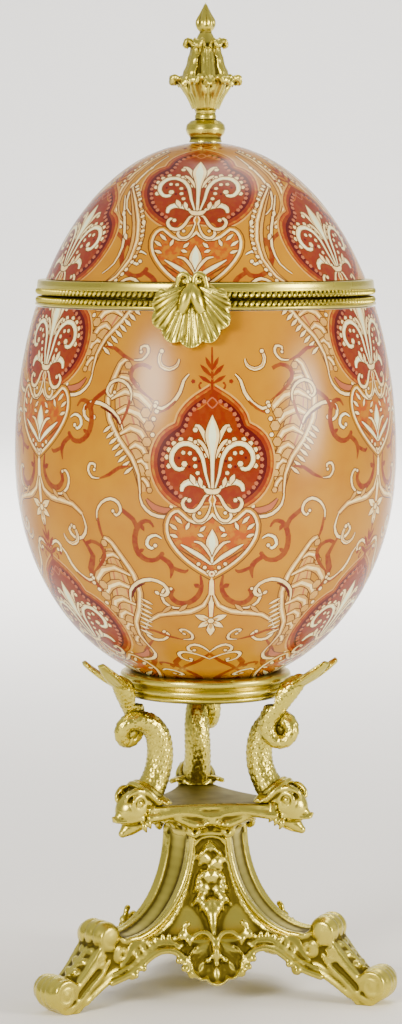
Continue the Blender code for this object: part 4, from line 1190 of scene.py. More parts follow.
def cut_flat(mesh, height, keep_above=True):
    """Cuts a mesh at a height and closes the cut."""
    bm = bmesh.new()
    bm.from_mesh(mesh)
    bmesh.ops.bisect_plane(
        bm,
        geom=bm.verts[:] + bm.edges[:] + bm.faces[:],
        plane_co=(0, 0, height),
        plane_no=(0, 0, -1 if keep_above else 1),
        clear_outer=True,
    )
    bmesh.ops.holes_fill(bm, edges=[e for e in bm.edges if e.is_boundary])
    bm.to_mesh(mesh)
    bm.free()


def turned_ring(name, profile, sunk, ropes=()):
    """A ring turned from a closed profile, with rope rows; sunk(radius, height) darkens it with
    patina and painted shade.
    """
    bm = bmesh.new()
    spin_profile(bm, profile, 192, closed=True)
    for radius, height, size in ropes:
        rope(bm, radius, height, size)
    mesh = mesh_from(bm, name)
    recess = mesh.attributes.new("recess", "FLOAT", "POINT")
    places = [vert.co for vert in mesh.vertices]
    depths = [sunk(math.hypot(place.x, place.y), place.z) for place in places]
    recess.data.foreach_set("value", depths)
    mesh.transform(Matrix.Scale(MM, 4))
    mesh.shade_smooth()
    mesh.set_sharp_from_angle(angle=math.radians(40))
    return mesh


# Scallop shells and leaves


def scallop(casting, top, bottom, shell, thickness):
    """A fan shell whose face looks along local +X; top and bottom are (x, z) on its middle.

    shell gives its half angle, lobes, ribs to a lobe, dome, and how far the ribs and the rolled
    edge stand out.
    """
    spread, lobes, ribs, dome, rib_height, roll = shell
    down = Vector((bottom[0] - top[0], 0.0, bottom[1] - top[1]))
    length = down.length
    down.normalize()
    out = Vector((-down.z, 0.0, down.x))
    start = Vector((top[0], 0.0, top[1]))

    def face(u, v):
        angle = u * math.radians(spread)
        place = lobes * (u + 1.0) / 2.0
        part = place - math.floor(place)
        wave = math.sin(math.pi * part) ** 0.7
        edge = length * math.cos(angle) ** 0.45 * (0.9 + 0.1 * wave)
        reach = edge * (0.06 + 0.94 * v)
        rib = rib_height * math.cos(math.tau * ribs * part) * min(1.0, 1.6 * v)
        lip = roll * max(0.0, (v - 0.8) / 0.2) ** 2
        hollow = 0.05 * length * (wave - 0.6) * v
        swell = dome * math.sin(math.pi * (0.1 + 0.8 * v)) + hollow + rib + lip
        side = Vector((0.0, math.sin(angle) * reach, 0.0))
        return start + side + down * math.cos(angle) * reach + out * swell

    casting.plate(face, lobes * ribs * 8, 30, thickness, -out)


def leaf_plate(casting, path, half_width, curl, thickness, lobes=3, vein=0.4):
    """A leaf along a path of (x, z) points, lobed at its sides, with a raised vein."""
    spine = smooth_path([(x, 0.0, z) for x, z in path], 6)

    def face(u, v):
        place = v * (len(spine) - 1)
        index = min(int(place), len(spine) - 2)
        point = spine[index].lerp(spine[index + 1], place - index)
        swell = math.sin(math.pi * min(1.0, 0.12 + 0.86 * v)) ** 0.7
        lobe = 1.0 - 0.3 * abs(math.sin(math.pi * lobes * v)) * abs(u)
        tangent = (spine[index + 1] - spine[index]).normalized()
        out = Vector((tangent.z, 0.0, -tangent.x))
        side = u * half_width * swell * lobe
        groove = vein * (
            math.cos(math.tau * 2.0 * u) * 0.5 - abs(math.sin(math.pi * lobes * v)) * u * u
        )
        return point + Vector((0.0, side, 0.0)) + out * (groove - curl * u * u)

    casting.plate(face, 20, 30, thickness)


# Brass mounts of the egg

RIM_OUTER = 65.2
RIM_INNER = 59.8
ROPE_BEADS = 184
GROOVE_RADIUS = 63.6
GROOVE_HALF = 0.7
RIM_LOW_Z = 261.0
CLASP_TOP_Z = 279.2
CLASP_APEX_Z = 274.4
CLASP_BOTTOM_Z = 251.4


def rope(bm, radius, height, size):
    """A row of slanted beads round a rim."""
    sides, rows = ((8, 6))
    for number in range(ROPE_BEADS):
        turn = Matrix.Rotation(math.tau * number / ROPE_BEADS, 4, "Z")
        slant = Matrix.Rotation(math.radians(38.0), 4, "Y")
        spot = turn @ Matrix.Translation((0.0, -radius, height)) @ slant
        shape = Matrix.Diagonal((0.72 * size, size, 1.24 * size, 1.0))
        bmesh.ops.create_uvsphere(
            bm, u_segments=sides, v_segments=rows, radius=1.0, matrix=spot @ shape,
        )


def rim_mesh(name, profile, ropes, grooves):
    """A turned rim with its rope rows; the metal is dark at the heights of its grooves and of its
    edge at the parting: painted shade there, with patina in the grooves.
    """

    # Painted shade in the gap at the parting, and patina with painted shade in the grooves
    def sunk(radius, height):
        away = min(abs(height - groove) for groove in grooves)
        return max(0.0, 1.0 - away / GROOVE_HALF) if radius < GROOVE_RADIUS else 0.0

    return turned_ring(name, profile, sunk, ropes)


def arc(centre, radius, start, end, steps=6):
    """Points (radius, height) on an arc of a profile, from one angle to another in degrees."""
    points = []
    for step in range(steps + 1):
        angle = math.radians(start + (end - start) * step / steps)
        points.append((centre[0] + radius * math.cos(angle), centre[1] + radius * math.sin(angle)))
    return points


def bowl_rim_mesh():
    high, low = 268.7, 265.2
    profile = [(RIM_INNER, high), *arc((63.2, high - 0.4), 0.4, 90, 0, 3), (63.3, low + 1.4)]
    profile += [*arc((64.6, low + 0.7), 0.6, 80, -60, 4), (64.0, low), (RIM_INNER, low)]
    return rim_mesh("bowl_rim_rope", profile, [(63.9, 267.4, 1.2)], (high, low + 1.3))


def lid_rim_mesh():
    high, low = 275.0, 269.3
    profile = [(RIM_INNER, high), (63.0, high), *arc((63.7, high - 0.5), 0.5, 90, 0, 3)]
    profile += [(64.5, high - 2.4), *arc((64.0, high - 2.8), 0.5, 30, -60, 3), (63.3, high - 3.3)]
    profile += [(63.3, low + 0.4), *arc((63.0, low + 0.4), 0.4, 0, -90, 3), (RIM_INNER, low)]
    return rim_mesh("lid_rim_rope", profile, [(63.9, 270.7, 1.2)], (high - 3.2, low))


def clasp_mesh():
    """Scallop shell that hangs over the parting, under a pair of C-volutes."""
    casting = Casting()
    casting.place = Matrix.Rotation(math.radians(-90), 4, "Z")
    front = RIM_OUTER
    top = (front + 2.0, CLASP_APEX_Z)
    bottom = (front + 5.6, CLASP_BOTTOM_Z)
    scallop(casting, top, bottom, (78.0, 7, 3, 2.0, 0.3, 1.0), 3.4)
    apex, crown = (front, 0.0, CLASP_APEX_Z), (front, 0.0, CLASP_TOP_Z)
    for side in (-1, 1):
        ridge = ((3.6, 0.5, -0.4), (5.0, 1.5, -3.6), (5.0, 2.9, -7.8), (3.8, 4.2, -12.0))
        casting.tube(placed(ridge, apex, side), (1.5, 2.3, 2.0, 0.7))
        ear = (
            (3.2, 0.9, -4.2), (3.4, 1.3, -1.6), (3.4, 2.9, -0.7), (3.2, 4.6, -1.8),
            (2.8, 5.3, -4.6), (2.4, 6.3, -7.4), (2.4, 8.6, -8.0), (2.6, 10.6, -6.8),
            (2.6, 12.2, -8.0), (2.6, 11.6, -9.8), (2.6, 9.9, -9.6),
        )
        widths = (1.2, 0.95, 0.95, 0.95, 0.95, 1.0, 0.9, 0.85, 0.85, 0.8, 0.8)
        casting.tube(placed(ear, crown, side), widths)
        casting.ball(*placed(((3.2, 2.6, -3.5),), crown, side), 1.05)
        casting.tube(placed(((1.2, 2.0, -3.0), (1.0, 9.0, -8.4)), crown, side), (1.9, 1.7), 3)
    mesh = casting.fused("clasp_scallop", 0.28)
    clear_of_egg(mesh)
    return finished_casting(mesh, 0.3)


def clear_of_egg(mesh):
    """Pulls the back of a casting clear of the rim and the egg's skin."""
    for vert in mesh.vertices:
        least = skin_radius(skin_place(vert.co.z))
        if vert.co.z > RIM_LOW_Z:
            least = max(least, RIM_OUTER)
        least += AIR_GAP
        radius = math.hypot(vert.co.x, vert.co.y)
        if radius < least:
            vert.co.x *= least / radius
            vert.co.y *= least / radius


# Finial

FINIAL_TOP = 380.0

# (radius, height from the top)
FINIAL_CORE = (
    (0.0, 0.0), (0.7, -1.2), (1.5, -3.6), (2.6, -7.0), (3.3, -9.4), (2.2, -11.4), (3.0, -12.6),
    (4.2, -16.0), (4.7, -19.6), (5.7, -23.6), (7.2, -27.4), (8.2, -30.0), (7.2, -33.4),
    (5.2, -37.2), (3.6, -39.4), (3.0, -40.0), (4.0, -40.5), (4.0, -41.7), (3.1, -42.2),
    (4.1, -42.7), (4.1, -43.9), (3.4, -44.4), (5.6, -44.8), (7.2, -46.2), (7.6, -48.0),
    (7.1, -49.8), (5.9, -51.2), (5.8, -52.0), (6.3, -52.4), (6.3, -54.2), (0.0, -54.2),
)
FINIAL_LEAVES = 6


def finial_mesh():
    """Pointed fluted bud over a small and a large tier of curled acanthus."""
    casting = Casting()
    top = FINIAL_TOP
    casting.turn([(radius, top + drop) for radius, drop in FINIAL_CORE])

    def leaf(path, *shape):
        leaf_plate(casting, [(radius, top + drop) for radius, drop in path], *shape)

    pitch = 360.0 / FINIAL_LEAVES
    for number in range(FINIAL_LEAVES):
        turn = Matrix.Rotation(math.radians(360.0 * number / FINIAL_LEAVES + 12.0), 4, "Z")
        between = Matrix.Rotation(math.radians(pitch / 2.0), 4, "Z")
        casting.place = turn
        flute = ((0.5, 0.0, -1.4), (1.5, 0.0, -4.4), (2.7, 0.0, -7.6), (2.5, 0.0, -10.0))
        casting.tube(placed(flute, (0.0, 0.0, top)), (0.3, 0.75, 1.2, 0.8))
        large = (
            (3.8, -40.0), (5.8, -35.6), (8.4, -31.6), (10.8, -28.8), (12.6, -28.6), (12.9, -30.2),
            (11.8, -31.0),
        )
        leaf(large, 3.9, 0.9, 1.3, 4, 0.7)
        curled = [(12.2, across, top - 29.6) for across in (-1.7, 0.0, 1.7)]
        casting.tube(curled, (0.9, 1.3, 0.9))
        small = ((4.0, -20.0), (4.8, -16.4), (6.2, -14.4), (7.6, -14.6), (8.0, -16.2), (7.0, -17.4))
        leaf(small, 2.4, 0.6, 1.1, 3, 0.5)
        casting.ball((7.6, 0.0, top - 16.4), (0.9, 1.3, 1.0))
        casting.place = turn @ between
        bell = ((4.6, -17.4), (5.2, -20.6), (6.4, -24.6), (8.0, -28.2), (9.8, -30.2), (10.4, -31.6))
        leaf(bell, 2.8, -0.5, -1.3, 4, -0.7)
        for turned in (-15.0, 15.0):
            casting.place = turn @ between @ Matrix.Rotation(math.radians(turned), 4, "Z")
            vein = [(r - 0.1, 0.0, top + z) for r, z in bell[:5]]
            casting.tube(vein, (0.5, 0.8, 0.9, 0.9, 0.5))
        casting.place = turn @ between
        lower = ((3.4, -40.2), (5.0, -36.6), (6.6, -33.0), (7.2, -29.8), (8.0, -28.6))
        leaf(lower, 2.4, 0.7, 1.2, 3, 0.6)
    mesh = casting.fused("finial_acanthus", 0.36, 1)
    for vert in mesh.vertices:
        radius = math.hypot(vert.co.x, vert.co.y)
        skin = float(np.interp(radius, SKIN_RADIUS[:300], SKIN_HEIGHT[:300]))
        vert.co.z = max(vert.co.z, skin + AIR_GAP)
    return finished_casting(mesh, 0.28)


# Stand: its front is turned a little from the clasp's

STAND_TURN = 11.8
LEG_AZIMUTHS = (60.0, 180.0, 300.0)
PANEL_AZIMUTHS = (0.0, 120.0, 240.0)
LEG_FROM_PANEL = math.radians(60.0)

# Pairs are (distance out from the axis, height)
BAND_TOP = (13.0, 63.3)
BAND_END = (42.0, 25.1)
BAND_HALF = 8.3
KNEE = (51.0, 27.2)
KNEE_RADIUS = 5.8
TOE = (71.3, 7.8)
TOE_RADIUS = 6.6
FOOT_HALF = 6.2
ARCH_TOP = 22.0
PANEL_RECESS = 1.0
APRON_TOP = (28.0, 23.5)
APRON_BOTTOM = (34.0, 7.8)
PLATFORM_TOP = 75.1
PLATFORM_THICK = 6.0
RING_TOP = 124.5
RING_LOW = 115.2
RING_OUTER = 33.0
RING_INNER = 25.2


def stand_frame(azimuth):
    """Local X points outwards at an azimuth from the stand's front, local Y along the turn."""
    return Matrix.Rotation(math.radians(azimuth + STAND_TURN - 90.0), 4, "Z")


def three_copies(mesh, azimuths):
    """One mesh of three turned copies of a casting."""
    bm = bmesh.new()
    for azimuth in azimuths:
        copy = mesh.copy()
        copy.transform(stand_frame(azimuth))
        bm.from_mesh(copy)
        bpy.data.meshes.remove(copy)
    bpy.data.meshes.remove(mesh)
    return mesh_from(bm, "copies")


def band_point(share):
    """(radius, height) on the leg's smooth band, from the column at 0 to the knee at 1."""
    angle = math.radians(90.0 * share)
    return (
        BAND_END[0] - (BAND_END[0] - BAND_TOP[0]) * math.cos(angle),
        BAND_TOP[1] - (BAND_TOP[1] - BAND_END[1]) * math.sin(angle),
    )


def leg_half_width(x):
    share = min(1.0, max(0.0, (x - BAND_TOP[0]) / (TOE[0] - BAND_TOP[0])))
    return BAND_HALF + (FOOT_HALF - BAND_HALF) * share


def panel_point(share, across, depth=0.0):
    """A point of a panel in its own frame; the panel is straight across, between two bands."""
    if share > 1.0:
        x, _, z = panel_point(1.0, 0.0)
        drop = (share - 1.0) * (APRON_TOP[1] - APRON_BOTTOM[1])
        edge = panel_point(1.0, 1.0).y
        return Vector((x + 0.3 * drop - depth, across * edge, z - drop))
    radius, height = band_point(share)
    turn = LEG_FROM_PANEL
    out = radius * math.cos(turn) + BAND_HALF * math.sin(turn)
    edge = radius * math.sin(turn) - BAND_HALF * math.cos(turn)
    return Vector((out - depth, across * edge, height))


def panel_axes(share):
    """Middle of the panel there, with the directions out of it and down along it."""
    centre = panel_point(share, 0.0, PANEL_RECESS)
    down = (panel_point(share + 0.02, 0.0, PANEL_RECESS) - centre).normalized()
    return centre, Vector((-down.z, 0.0, down.x)), down


def build_leg(casting):
    """One leg: tapered bracket, double mouldings, knee and toe scrolls and a leafy shin."""
    band = [band_point(step / 16) for step in range(17)]
    knee_x, knee_z = KNEE
    toe_x, toe_z = TOE
    shin = smooth_path(
        [
            (knee_x, knee_z + 0.4 * KNEE_RADIUS),
            (knee_x + 1.05 * KNEE_RADIUS, knee_z - 0.9 * KNEE_RADIUS),
            (0.45 * knee_x + 0.55 * toe_x, 0.4 * knee_z + 0.6 * toe_z),
            (toe_x - 0.75 * TOE_RADIUS, toe_z + 0.55 * TOE_RADIUS),
        ],
        5,
    )
    sole = [
        (toe_x + 0.6 * TOE_RADIUS, toe_z - 0.7 * TOE_RADIUS),
        (toe_x - 0.2 * TOE_RADIUS, -1.0),
        (toe_x - 0.9 * TOE_RADIUS, -1.0),
    ]
    underside = smooth_path(
        [
            (toe_x - 1.4 * TOE_RADIUS, 2.4),
            (knee_x + 4.0, 7.4),
            (knee_x - 2.0, 10.4),
            (40.0, 12.0),
            (33.5, 18.0),
            (26.5, ARCH_TOP),
            (19.0, ARCH_TOP + 1.0),
        ],
        5,
    )
    hub = [(0.0, ARCH_TOP + 1.0), (0.0, BAND_TOP[1] + 4.0), (BAND_TOP[0], BAND_TOP[1] + 4.0)]
    outline = band + [tuple(p) for p in shin] + sole + [tuple(p) for p in underside] + hub
    body = [(x, 0.0, z) for x, z in outline]
    casting.slab(
        body,
        lambda p: Vector((0.0, -leg_half_width(p[0]), 0.0)),
        lambda co: Vector((0.0, 2.0 * leg_half_width(co.x), 0.0)),
    )
    for side in (-1, 1):
        edge = [(r, side * leg_half_width(r), z) for r, z in band]
        casting.tube(edge, 1.2, 2)
        inner = [(r + 0.3, side * (leg_half_width(r) - 2.3), z + 0.2) for r, z in band[1:]]
        casting.tube(inner, 0.55, 2)
        rib = [(r, side * leg_half_width(r), z + 0.9) for r, z in underside[:-6]]
        casting.tube(rib, 1.25, 2)
        second = [(r, side * (leg_half_width(r) + 0.1), z + 3.6) for r, z in underside[1:-9]]
        casting.tube(second, 0.7, 2)
        shin_rib = [(p.x - 0.8, side * leg_half_width(p.x), p.y - 0.6) for p in shin]
        casting.tube(shin_rib, 1.05, 2)
        y = side * (FOOT_HALF + 0.5)
        casting.tube(spiral((toe_x, toe_z), 5.2, 1.7, 150.0, -500.0, y), (1.3,) * 14 + (0.9,), 2)
        casting.ball((toe_x, y, toe_z), (1.8, 1.6, 1.8))
        k = side * (leg_half_width(knee_x) + 0.3)
        casting.tube(spiral((knee_x, knee_z), 4.4, 1.5, -100.0, 500.0, k), (1.15,) * 14 + (0.8,), 2)
        casting.ball((knee_x, k, knee_z), (1.5, 1.5, 1.5))
        lower = spiral((knee_x - 5.2, knee_z - 7.2), 2.9, 0.9, 60.0, -460.0, k)
        casting.tube(lower, (0.95,) * 14 + (0.8,), 2)
        outer = spiral((knee_x + 4.6, knee_z - 8.8), 2.7, 0.9, 140.0, -420.0, k * 0.97)
        casting.tube(outer, (0.9,) * 14 + (0.8,), 2)
        for foot_rib in (
            ((54.4, 22.4), (57.6, 17.0), (62.4, 12.4), (66.4, 8.2), (66.0, 4.0)),
            ((51.4, 18.0), (55.2, 13.2), (60.4, 8.8), (65.0, 4.2), (70.0, 1.4)),
        ):
            casting.tube(
                [(r, side * (leg_half_width(r) + 0.1), z) for r, z in foot_rib],
                (0.5, 1.1, 1.2, 1.1, 0.7),
            )
        scroll = spiral((41.0, 11.6), 2.3, 0.8, 20.0, 420.0, side * leg_half_width(41.0))
        casting.tube(scroll, (0.85,) * 14 + (0.7,), 2)
    for (x, z), radius in ((KNEE, KNEE_RADIUS), (TOE, TOE_RADIUS)):
        casting.drum(x, z, radius, leg_half_width(x) + 1.6)
    for number, (x, z) in enumerate(((56.0, 20.0), (59.6, 16.2), (63.2, 12.9))):
        for side in (-1, 1):
            root = Vector((x + 1.6, side * 0.5, z - 0.4))
            tip = Vector((x - 1.6, side * (4.4 - 0.4 * number), z + 1.6))
            casting.tube(
                [root, root.lerp(tip, 0.6) + Vector((0.8, 0.0, 1.2)), tip], (0.8, 1.5, 0.6),
            )
    casting.tube([(55.0, 0.0, 23.0), (60.2, 0.0, 17.8), (66.4, 0.0, 12.4)], (1.7, 1.6, 1.0))


def spiral(centre, start, end, angle, turn, y):
    """Points that wind in about a centre in a leg's own plane."""
    points = []
    for step in range(15):
        share = step / 14
        radius = start + (end - start) * share
        turned = math.radians(angle + turn * share)
        points.append(
            (centre[0] + radius * math.cos(turned), y, centre[1] + radius * math.sin(turned))
        )
    return points


def build_rosette(casting, share, radius, across):
    """A rose: two rings of petals round a pearl."""
    centre, out, down = panel_axes(share)
    side = Vector((0.0, 1.0, 0.0))
    centre += side * across
    casting.ball(centre + out * 0.55 * radius, 0.24 * radius, segments=12)
    for count, reach, size, lift, twist in ((5, 0.74, 0.36, 0.1, 0.0), (5, 0.4, 0.26, 0.42, 36.0)):
        for petal in range(count):
            angle = math.tau * petal / count + math.radians(twist)
            away = side * math.sin(angle) - down * math.cos(angle)
            spot = centre + away * reach * radius + out * lift * radius
            casting.ball(spot, (size * radius,) * 3, segments=12)


def build_garland(casting):
    """Roses, leaves and a tied stem down the middle of a panel."""
    for share, across, radius in (
        (0.1, 0.0, 2.6),
        (0.17, -2.4, 3.0),
        (0.2, 2.6, 3.2),
        (0.29, 0.0, 4.3),
        (0.38, -3.0, 3.2),
        (0.4, 3.0, 3.2),
    ):
        build_rosette(casting, share, radius, across)
    for share, across, spread, size in (
        (0.1, 1.6, 3.6, 1.1),
        (0.26, 3.0, 3.0, 1.2),
        (0.33, 3.6, 3.2, 1.3),
        (0.42, 2.6, 4.6, 1.6),
        (0.47, 0.6, 4.2, 1.8),
        (0.52, 0.6, 1.8, 1.8),
    ):
        centre, out, down = panel_axes(share)
        for side in (-1, 1):
            root = centre + out * 0.8 + Vector((0.0, side * across, 0.0))
            tip = root + down * 4.4 - out * 0.3 + Vector((0.0, side * spread, 0.0))
            middle = root.lerp(tip, 0.5) + out * 0.8
            casting.tube([root, middle, tip], (0.8, size, 0.3))
            casting.tube([root + out * 0.8, middle + out * 1.2, tip + out * 0.4], (0.3, 0.5, 0.2))
    stem = []
    for share in (0.5, 0.62, 0.74, 0.88):
        centre, out, _ = panel_axes(share)
        stem.append(centre + out * 0.8)
    casting.tube(stem, (2.6, 2.2, 1.5, 0.7))
    for side in (-1, 1):
        casting.tube([p + Vector((0.8, side * 1.0, 0.8)) for p in stem[:3]], (0.6, 0.55, 0.3))


PANEL_EDGE = (
    (0.0, 12.0), (9.0, 13.0), (11.0, 16.2), (13.6, 19.4), (17.0, 21.0), (21.0, 20.8), (25.0, 18.8),
    (29.0, 15.6), (34.0, 12.4), (40.0, 10.0),
)


def panel_edge(y):
    """Height of the panel's arched lower edge at a place across it."""
    return float(np.interp(abs(y), *zip(*PANEL_EDGE)))


def on_panel(y, z, depth=0.0):
    """A point of the panel's lower part, by place across and height."""
    share = 1.0 + (BAND_END[1] - z) / (APRON_TOP[1] - APRON_BOTTOM[1])
    spot = panel_point(max(share, 1.0), 0.0, depth)
    return Vector((spot.x, y, z))


def build_panel(casting):
    """One panel: sunk field, garland, a pair of C-scrolls with a drop, shell and arches."""
    wide = panel_point(1.0, 1.0).y

    def field(u, v):
        """The sunk face; below the bands it reaches the sides of the legs."""
        if v < 0.8:
            return panel_point(-0.09 + 1.09 * v / 0.8, u, PANEL_RECESS)
        drop = (v - 0.8) / 0.2
        z = BAND_END[1] + (panel_edge(u * (wide + 5.0 * drop)) - BAND_END[1]) * drop
        out = on_panel(0.0, z).x - panel_point(1.0, 0.0).x
        return on_panel(u * (wide + out * math.tan(LEG_FROM_PANEL)), z, PANEL_RECESS)

    casting.plate(field, 48, 50, 4.5)
    for side in (-1, 1):
        fillet = [panel_point(0.04 + 0.94 * step / 10, side * 0.86, 0.45) for step in range(11)]
        casting.tube(fillet, 0.6, 2)
    head = [panel_point(0.05, side, 0.2) for side in (-0.8, -0.55, -0.3, 0.0, 0.3, 0.55, 0.8)]
    lifts = (-1.2, 0.6, 1.3, 1.6, 1.3, 0.6, -1.2)
    casting.tube([p + Vector((0.0, 0.0, lift)) for p, lift in zip(head, lifts)], 0.7, 3)
    build_garland(casting)
    top = (APRON_TOP[0], 0.0, APRON_TOP[1])
    for side in (-1, 1):
        scroll = (
            (2.6, 0.5, -2.6), (1.6, 1.1, 1.6), (0.9, 3.4, 3.9), (0.8, 6.4, 3.9), (1.4, 8.9, 1.9),
            (1.8, 9.9, -0.4),
        )
        casting.tube(placed(scroll, top, side), (0.9, 0.95, 1.0, 0.95, 0.85, 0.8))
        branch = ((1.4, 9.2, 1.8), (0.8, 11.4, 3.6), (0.4, 12.0, 6.4), (0.4, 10.6, 7.4))
        casting.tube(placed(branch, top, side), (1.1, 1.2, 1.1, 1.3))
        tendril = ((3.8, 0.0, -3.0), (4.2, 1.9, -4.4), (4.4, 3.4, -6.0))
        casting.tube(placed(tendril, top, side), 0.6)
        buds = ((1.6, 10.1, 1.4), (1.2, 13.0, 3.0), (4.4, 3.4, -6.0))
        for bud, radius in zip(placed(buds, top, side), (1.5, 1.7, 1.25)):
            casting.ball(bud, radius, segments=14)
        arch = [on_panel(side * y, z, -0.2) for y, z in PANEL_EDGE[1:]]
        casting.tube(arch, 1.3)
        inner = [on_panel(side * y, z + 2.8, 0.3) for y, z in PANEL_EDGE[3:]]
        casting.tube(inner, 0.7)
        foot = on_panel(side * 9.4, 12.6, -0.6)
        casting.ball(foot, 1.9, segments=14)
        for y, z in ((12.4, 14.6), (14.4, 17.4), (31.0, 12.6), (27.8, 15.0)):
            casting.ball(on_panel(side * y, z, -0.8), 1.3, segments=12)
        for number in range(8):
            y = 12.6 + 2.5 * number
            spot = on_panel(side * y, panel_edge(y) + 4.9, PANEL_RECESS - 0.1)
            casting.ball(
                spot, (0.9, 1.0, 1.6), Matrix.Rotation(side * 0.09 * (number - 3.5), 4, "X"), 12,
            )
    drop = Vector(top) + Vector((3.8, 0.0, -4.0))
    casting.ball(drop, (1.5, 1.3, 3.4), segments=14)
    casting.ball(drop + Vector((0.4, 0.0, -3.6)), 1.1, segments=12)
    scallop(casting, APRON_TOP, APRON_BOTTOM, (80.0, 5, 2, 0.3, 0.3, 2.8), 3.2)


def platform_outline(grow=0.0):
    """The platform's edge: three corners over the legs joined by hollow sides."""
    corner = Vector((31.0 + grow, 6.0 + grow))
    turn = LEG_FROM_PANEL
    out = corner.x * math.cos(turn) + corner.y * math.sin(turn)
    side = corner.x * math.sin(turn) - corner.y * math.cos(turn)
    control = 2.0 * (17.0 + grow) - out
    points = []
    for azimuth in PANEL_AZIMUTHS:
        spin = Matrix.Rotation(math.radians(azimuth), 2)
        for step in range(17):
            t = step / 16
            x = out * ((1 - t) ** 2 + t**2) + 2 * control * t * (1 - t)
            points.append(spin @ Vector((x, side * (2 * t - 1))))
    return points


def build_platform(casting):
    """Hollow-sided platform with a rolled, wavy lip and a collar of leaves beneath."""
    casting.place = stand_frame(0.0)
    low = PLATFORM_TOP - PLATFORM_THICK
    plan = [(p.x, p.y, low) for p in platform_outline(-1.0)]
    casting.slab(plan, lambda _: Vector(), lambda _: Vector((0.0, 0.0, PLATFORM_THICK)))
    edge = platform_outline(-0.3)
    wave = [-0.7 * math.cos(math.tau * 2.0 * (i % 17) / 16) for i in range(len(edge))]
    lip = [(p.x, p.y, PLATFORM_TOP - 1.5) for p in edge]
    lower = [(p.x, p.y, PLATFORM_TOP - 3.9 + w) for p, w in zip(platform_outline(0.2), wave)]
    casting.tube([*lip, lip[0], lip[1]], 1.4, 1)
    casting.tube([*lower, lower[0], lower[1]], 1.7, 1)
    neck = [
        (0.0, low + 1.0), (19.5, low + 1.0), (17.0, low - 1.4), (14.8, low - 3.0),
        (13.6, low - 8.0),
    ]
    casting.turn([*neck, (0.0, low - 8.0)])
    for number in range(15):
        casting.place = stand_frame(24.0 * number + 12.0)
        tongue = ((14.2, low - 4.6), (15.6, low - 2.4), (18.6, low - 0.9), (20.4, low - 1.6))
        leaf_plate(casting, tongue, 2.4, 0.6, 1.4, 2, 0.4)
    for azimuth in PANEL_AZIMUTHS:
        casting.place = stand_frame(azimuth)
        casting.ball((17.4, 0.0, low - 0.6), (1.9, 2.6, 2.0), segments=16)
        for side in (-1, 1):
            swag = (
                (17.2, side * 1.6, low - 1.2),
                (18.0, side * 5.4, low - 2.0),
                (17.6, side * 10.2, low - 0.6),
                (18.2, side * 15.4, low + 1.6),
                (19.6, side * 21.0, low + 2.6),
            )
            casting.tube(swag, (1.7, 1.9, 1.8, 1.5, 1.2))
            curl = ((6.4, 2.6), (8.6, 5.0), (6.2, 6.6), (4.6, 5.0))
            curl = [(16.6, side * y, low - drop) for y, drop in curl]
            casting.tube(curl, (1.2, 1.2, 1.0, 0.9))
            casting.ball((15.4, side * 4.4, low - 3.4), (1.4, 1.6, 1.5), segments=14)


def stand_meshes():
    """The legs, the panels and the platform as three meshes."""
    meshes = []
    for build, azimuths, voxel in (
        (build_leg, LEG_AZIMUTHS, 0.71),
        (build_panel, PANEL_AZIMUTHS, 0.63),
        (build_platform, None, 0.6),
    ):
        casting = Casting()
        build(casting)
        mesh = casting.fused("stand", voxel, 1)
        if azimuths:
            mesh = three_copies(mesh, azimuths)
        cut_flat(mesh, 0.0)
        if not azimuths:
            cut_flat(mesh, PLATFORM_TOP - 0.05, False)
        finished_casting(mesh, 0.4)
        # Painted shade on the platform's flat top
        if not azimuths:
            shade_platform_top(mesh)
        meshes.append(mesh)
    return meshes


def shade_platform_top(mesh):
    """Leaves the platform's flat top half darkened: painted shade on its top."""
    for vert, recess in zip(mesh.vertices, mesh.attributes["recess"].data):
        # Painted shade: the flat top is darkened half way
        if vert.co.z > (PLATFORM_TOP - 0.2) * MM:
            recess.value = 0.5


# Dolphins: path of the body and its coiled tail as millimetres out from the egg's axis, along the
# turn and up, with half the thickness

DOLPHIN_PATH = (
    (31.0, 0.0, 76.5, 6.2), (26.6, 0.0, 80.6, 5.4), (23.2, 0.0, 87.2, 5.0), (22.2, 0.3, 94.2, 4.9),
    (23.4, 0.4, 101.0, 4.6), (26.8, -0.2, 105.6, 4.2), (31.4, -1.5, 107.2, 3.6),
    (35.6, -3.0, 106.2, 3.1), (37.2, -4.2, 102.8, 2.7), (35.2, -5.2, 99.6, 2.5),
    (31.4, -6.0, 99.4, 2.7), (28.6, -6.4, 102.4, 3.1), (28.4, -6.2, 106.6, 3.5),
    (30.4, -5.6, 111.0, 3.9), (33.4, -4.6, 115.6, 4.1), (36.6, -3.4, 119.6, 3.9),
    (39.8, -2.4, 122.6, 2.9),
)
COIL_CENTRE = (32.6, -3.4, 103.2)
DOLPHIN_HEAD = (34.8, 74.0)
HEAD_SIZE = 7.6
FIN_ROOT = (38.0, -2.6, 121.4)
FIN_TIP = (53.0, -1.6, 129.2)
SCALE_LENGTH = 2.1


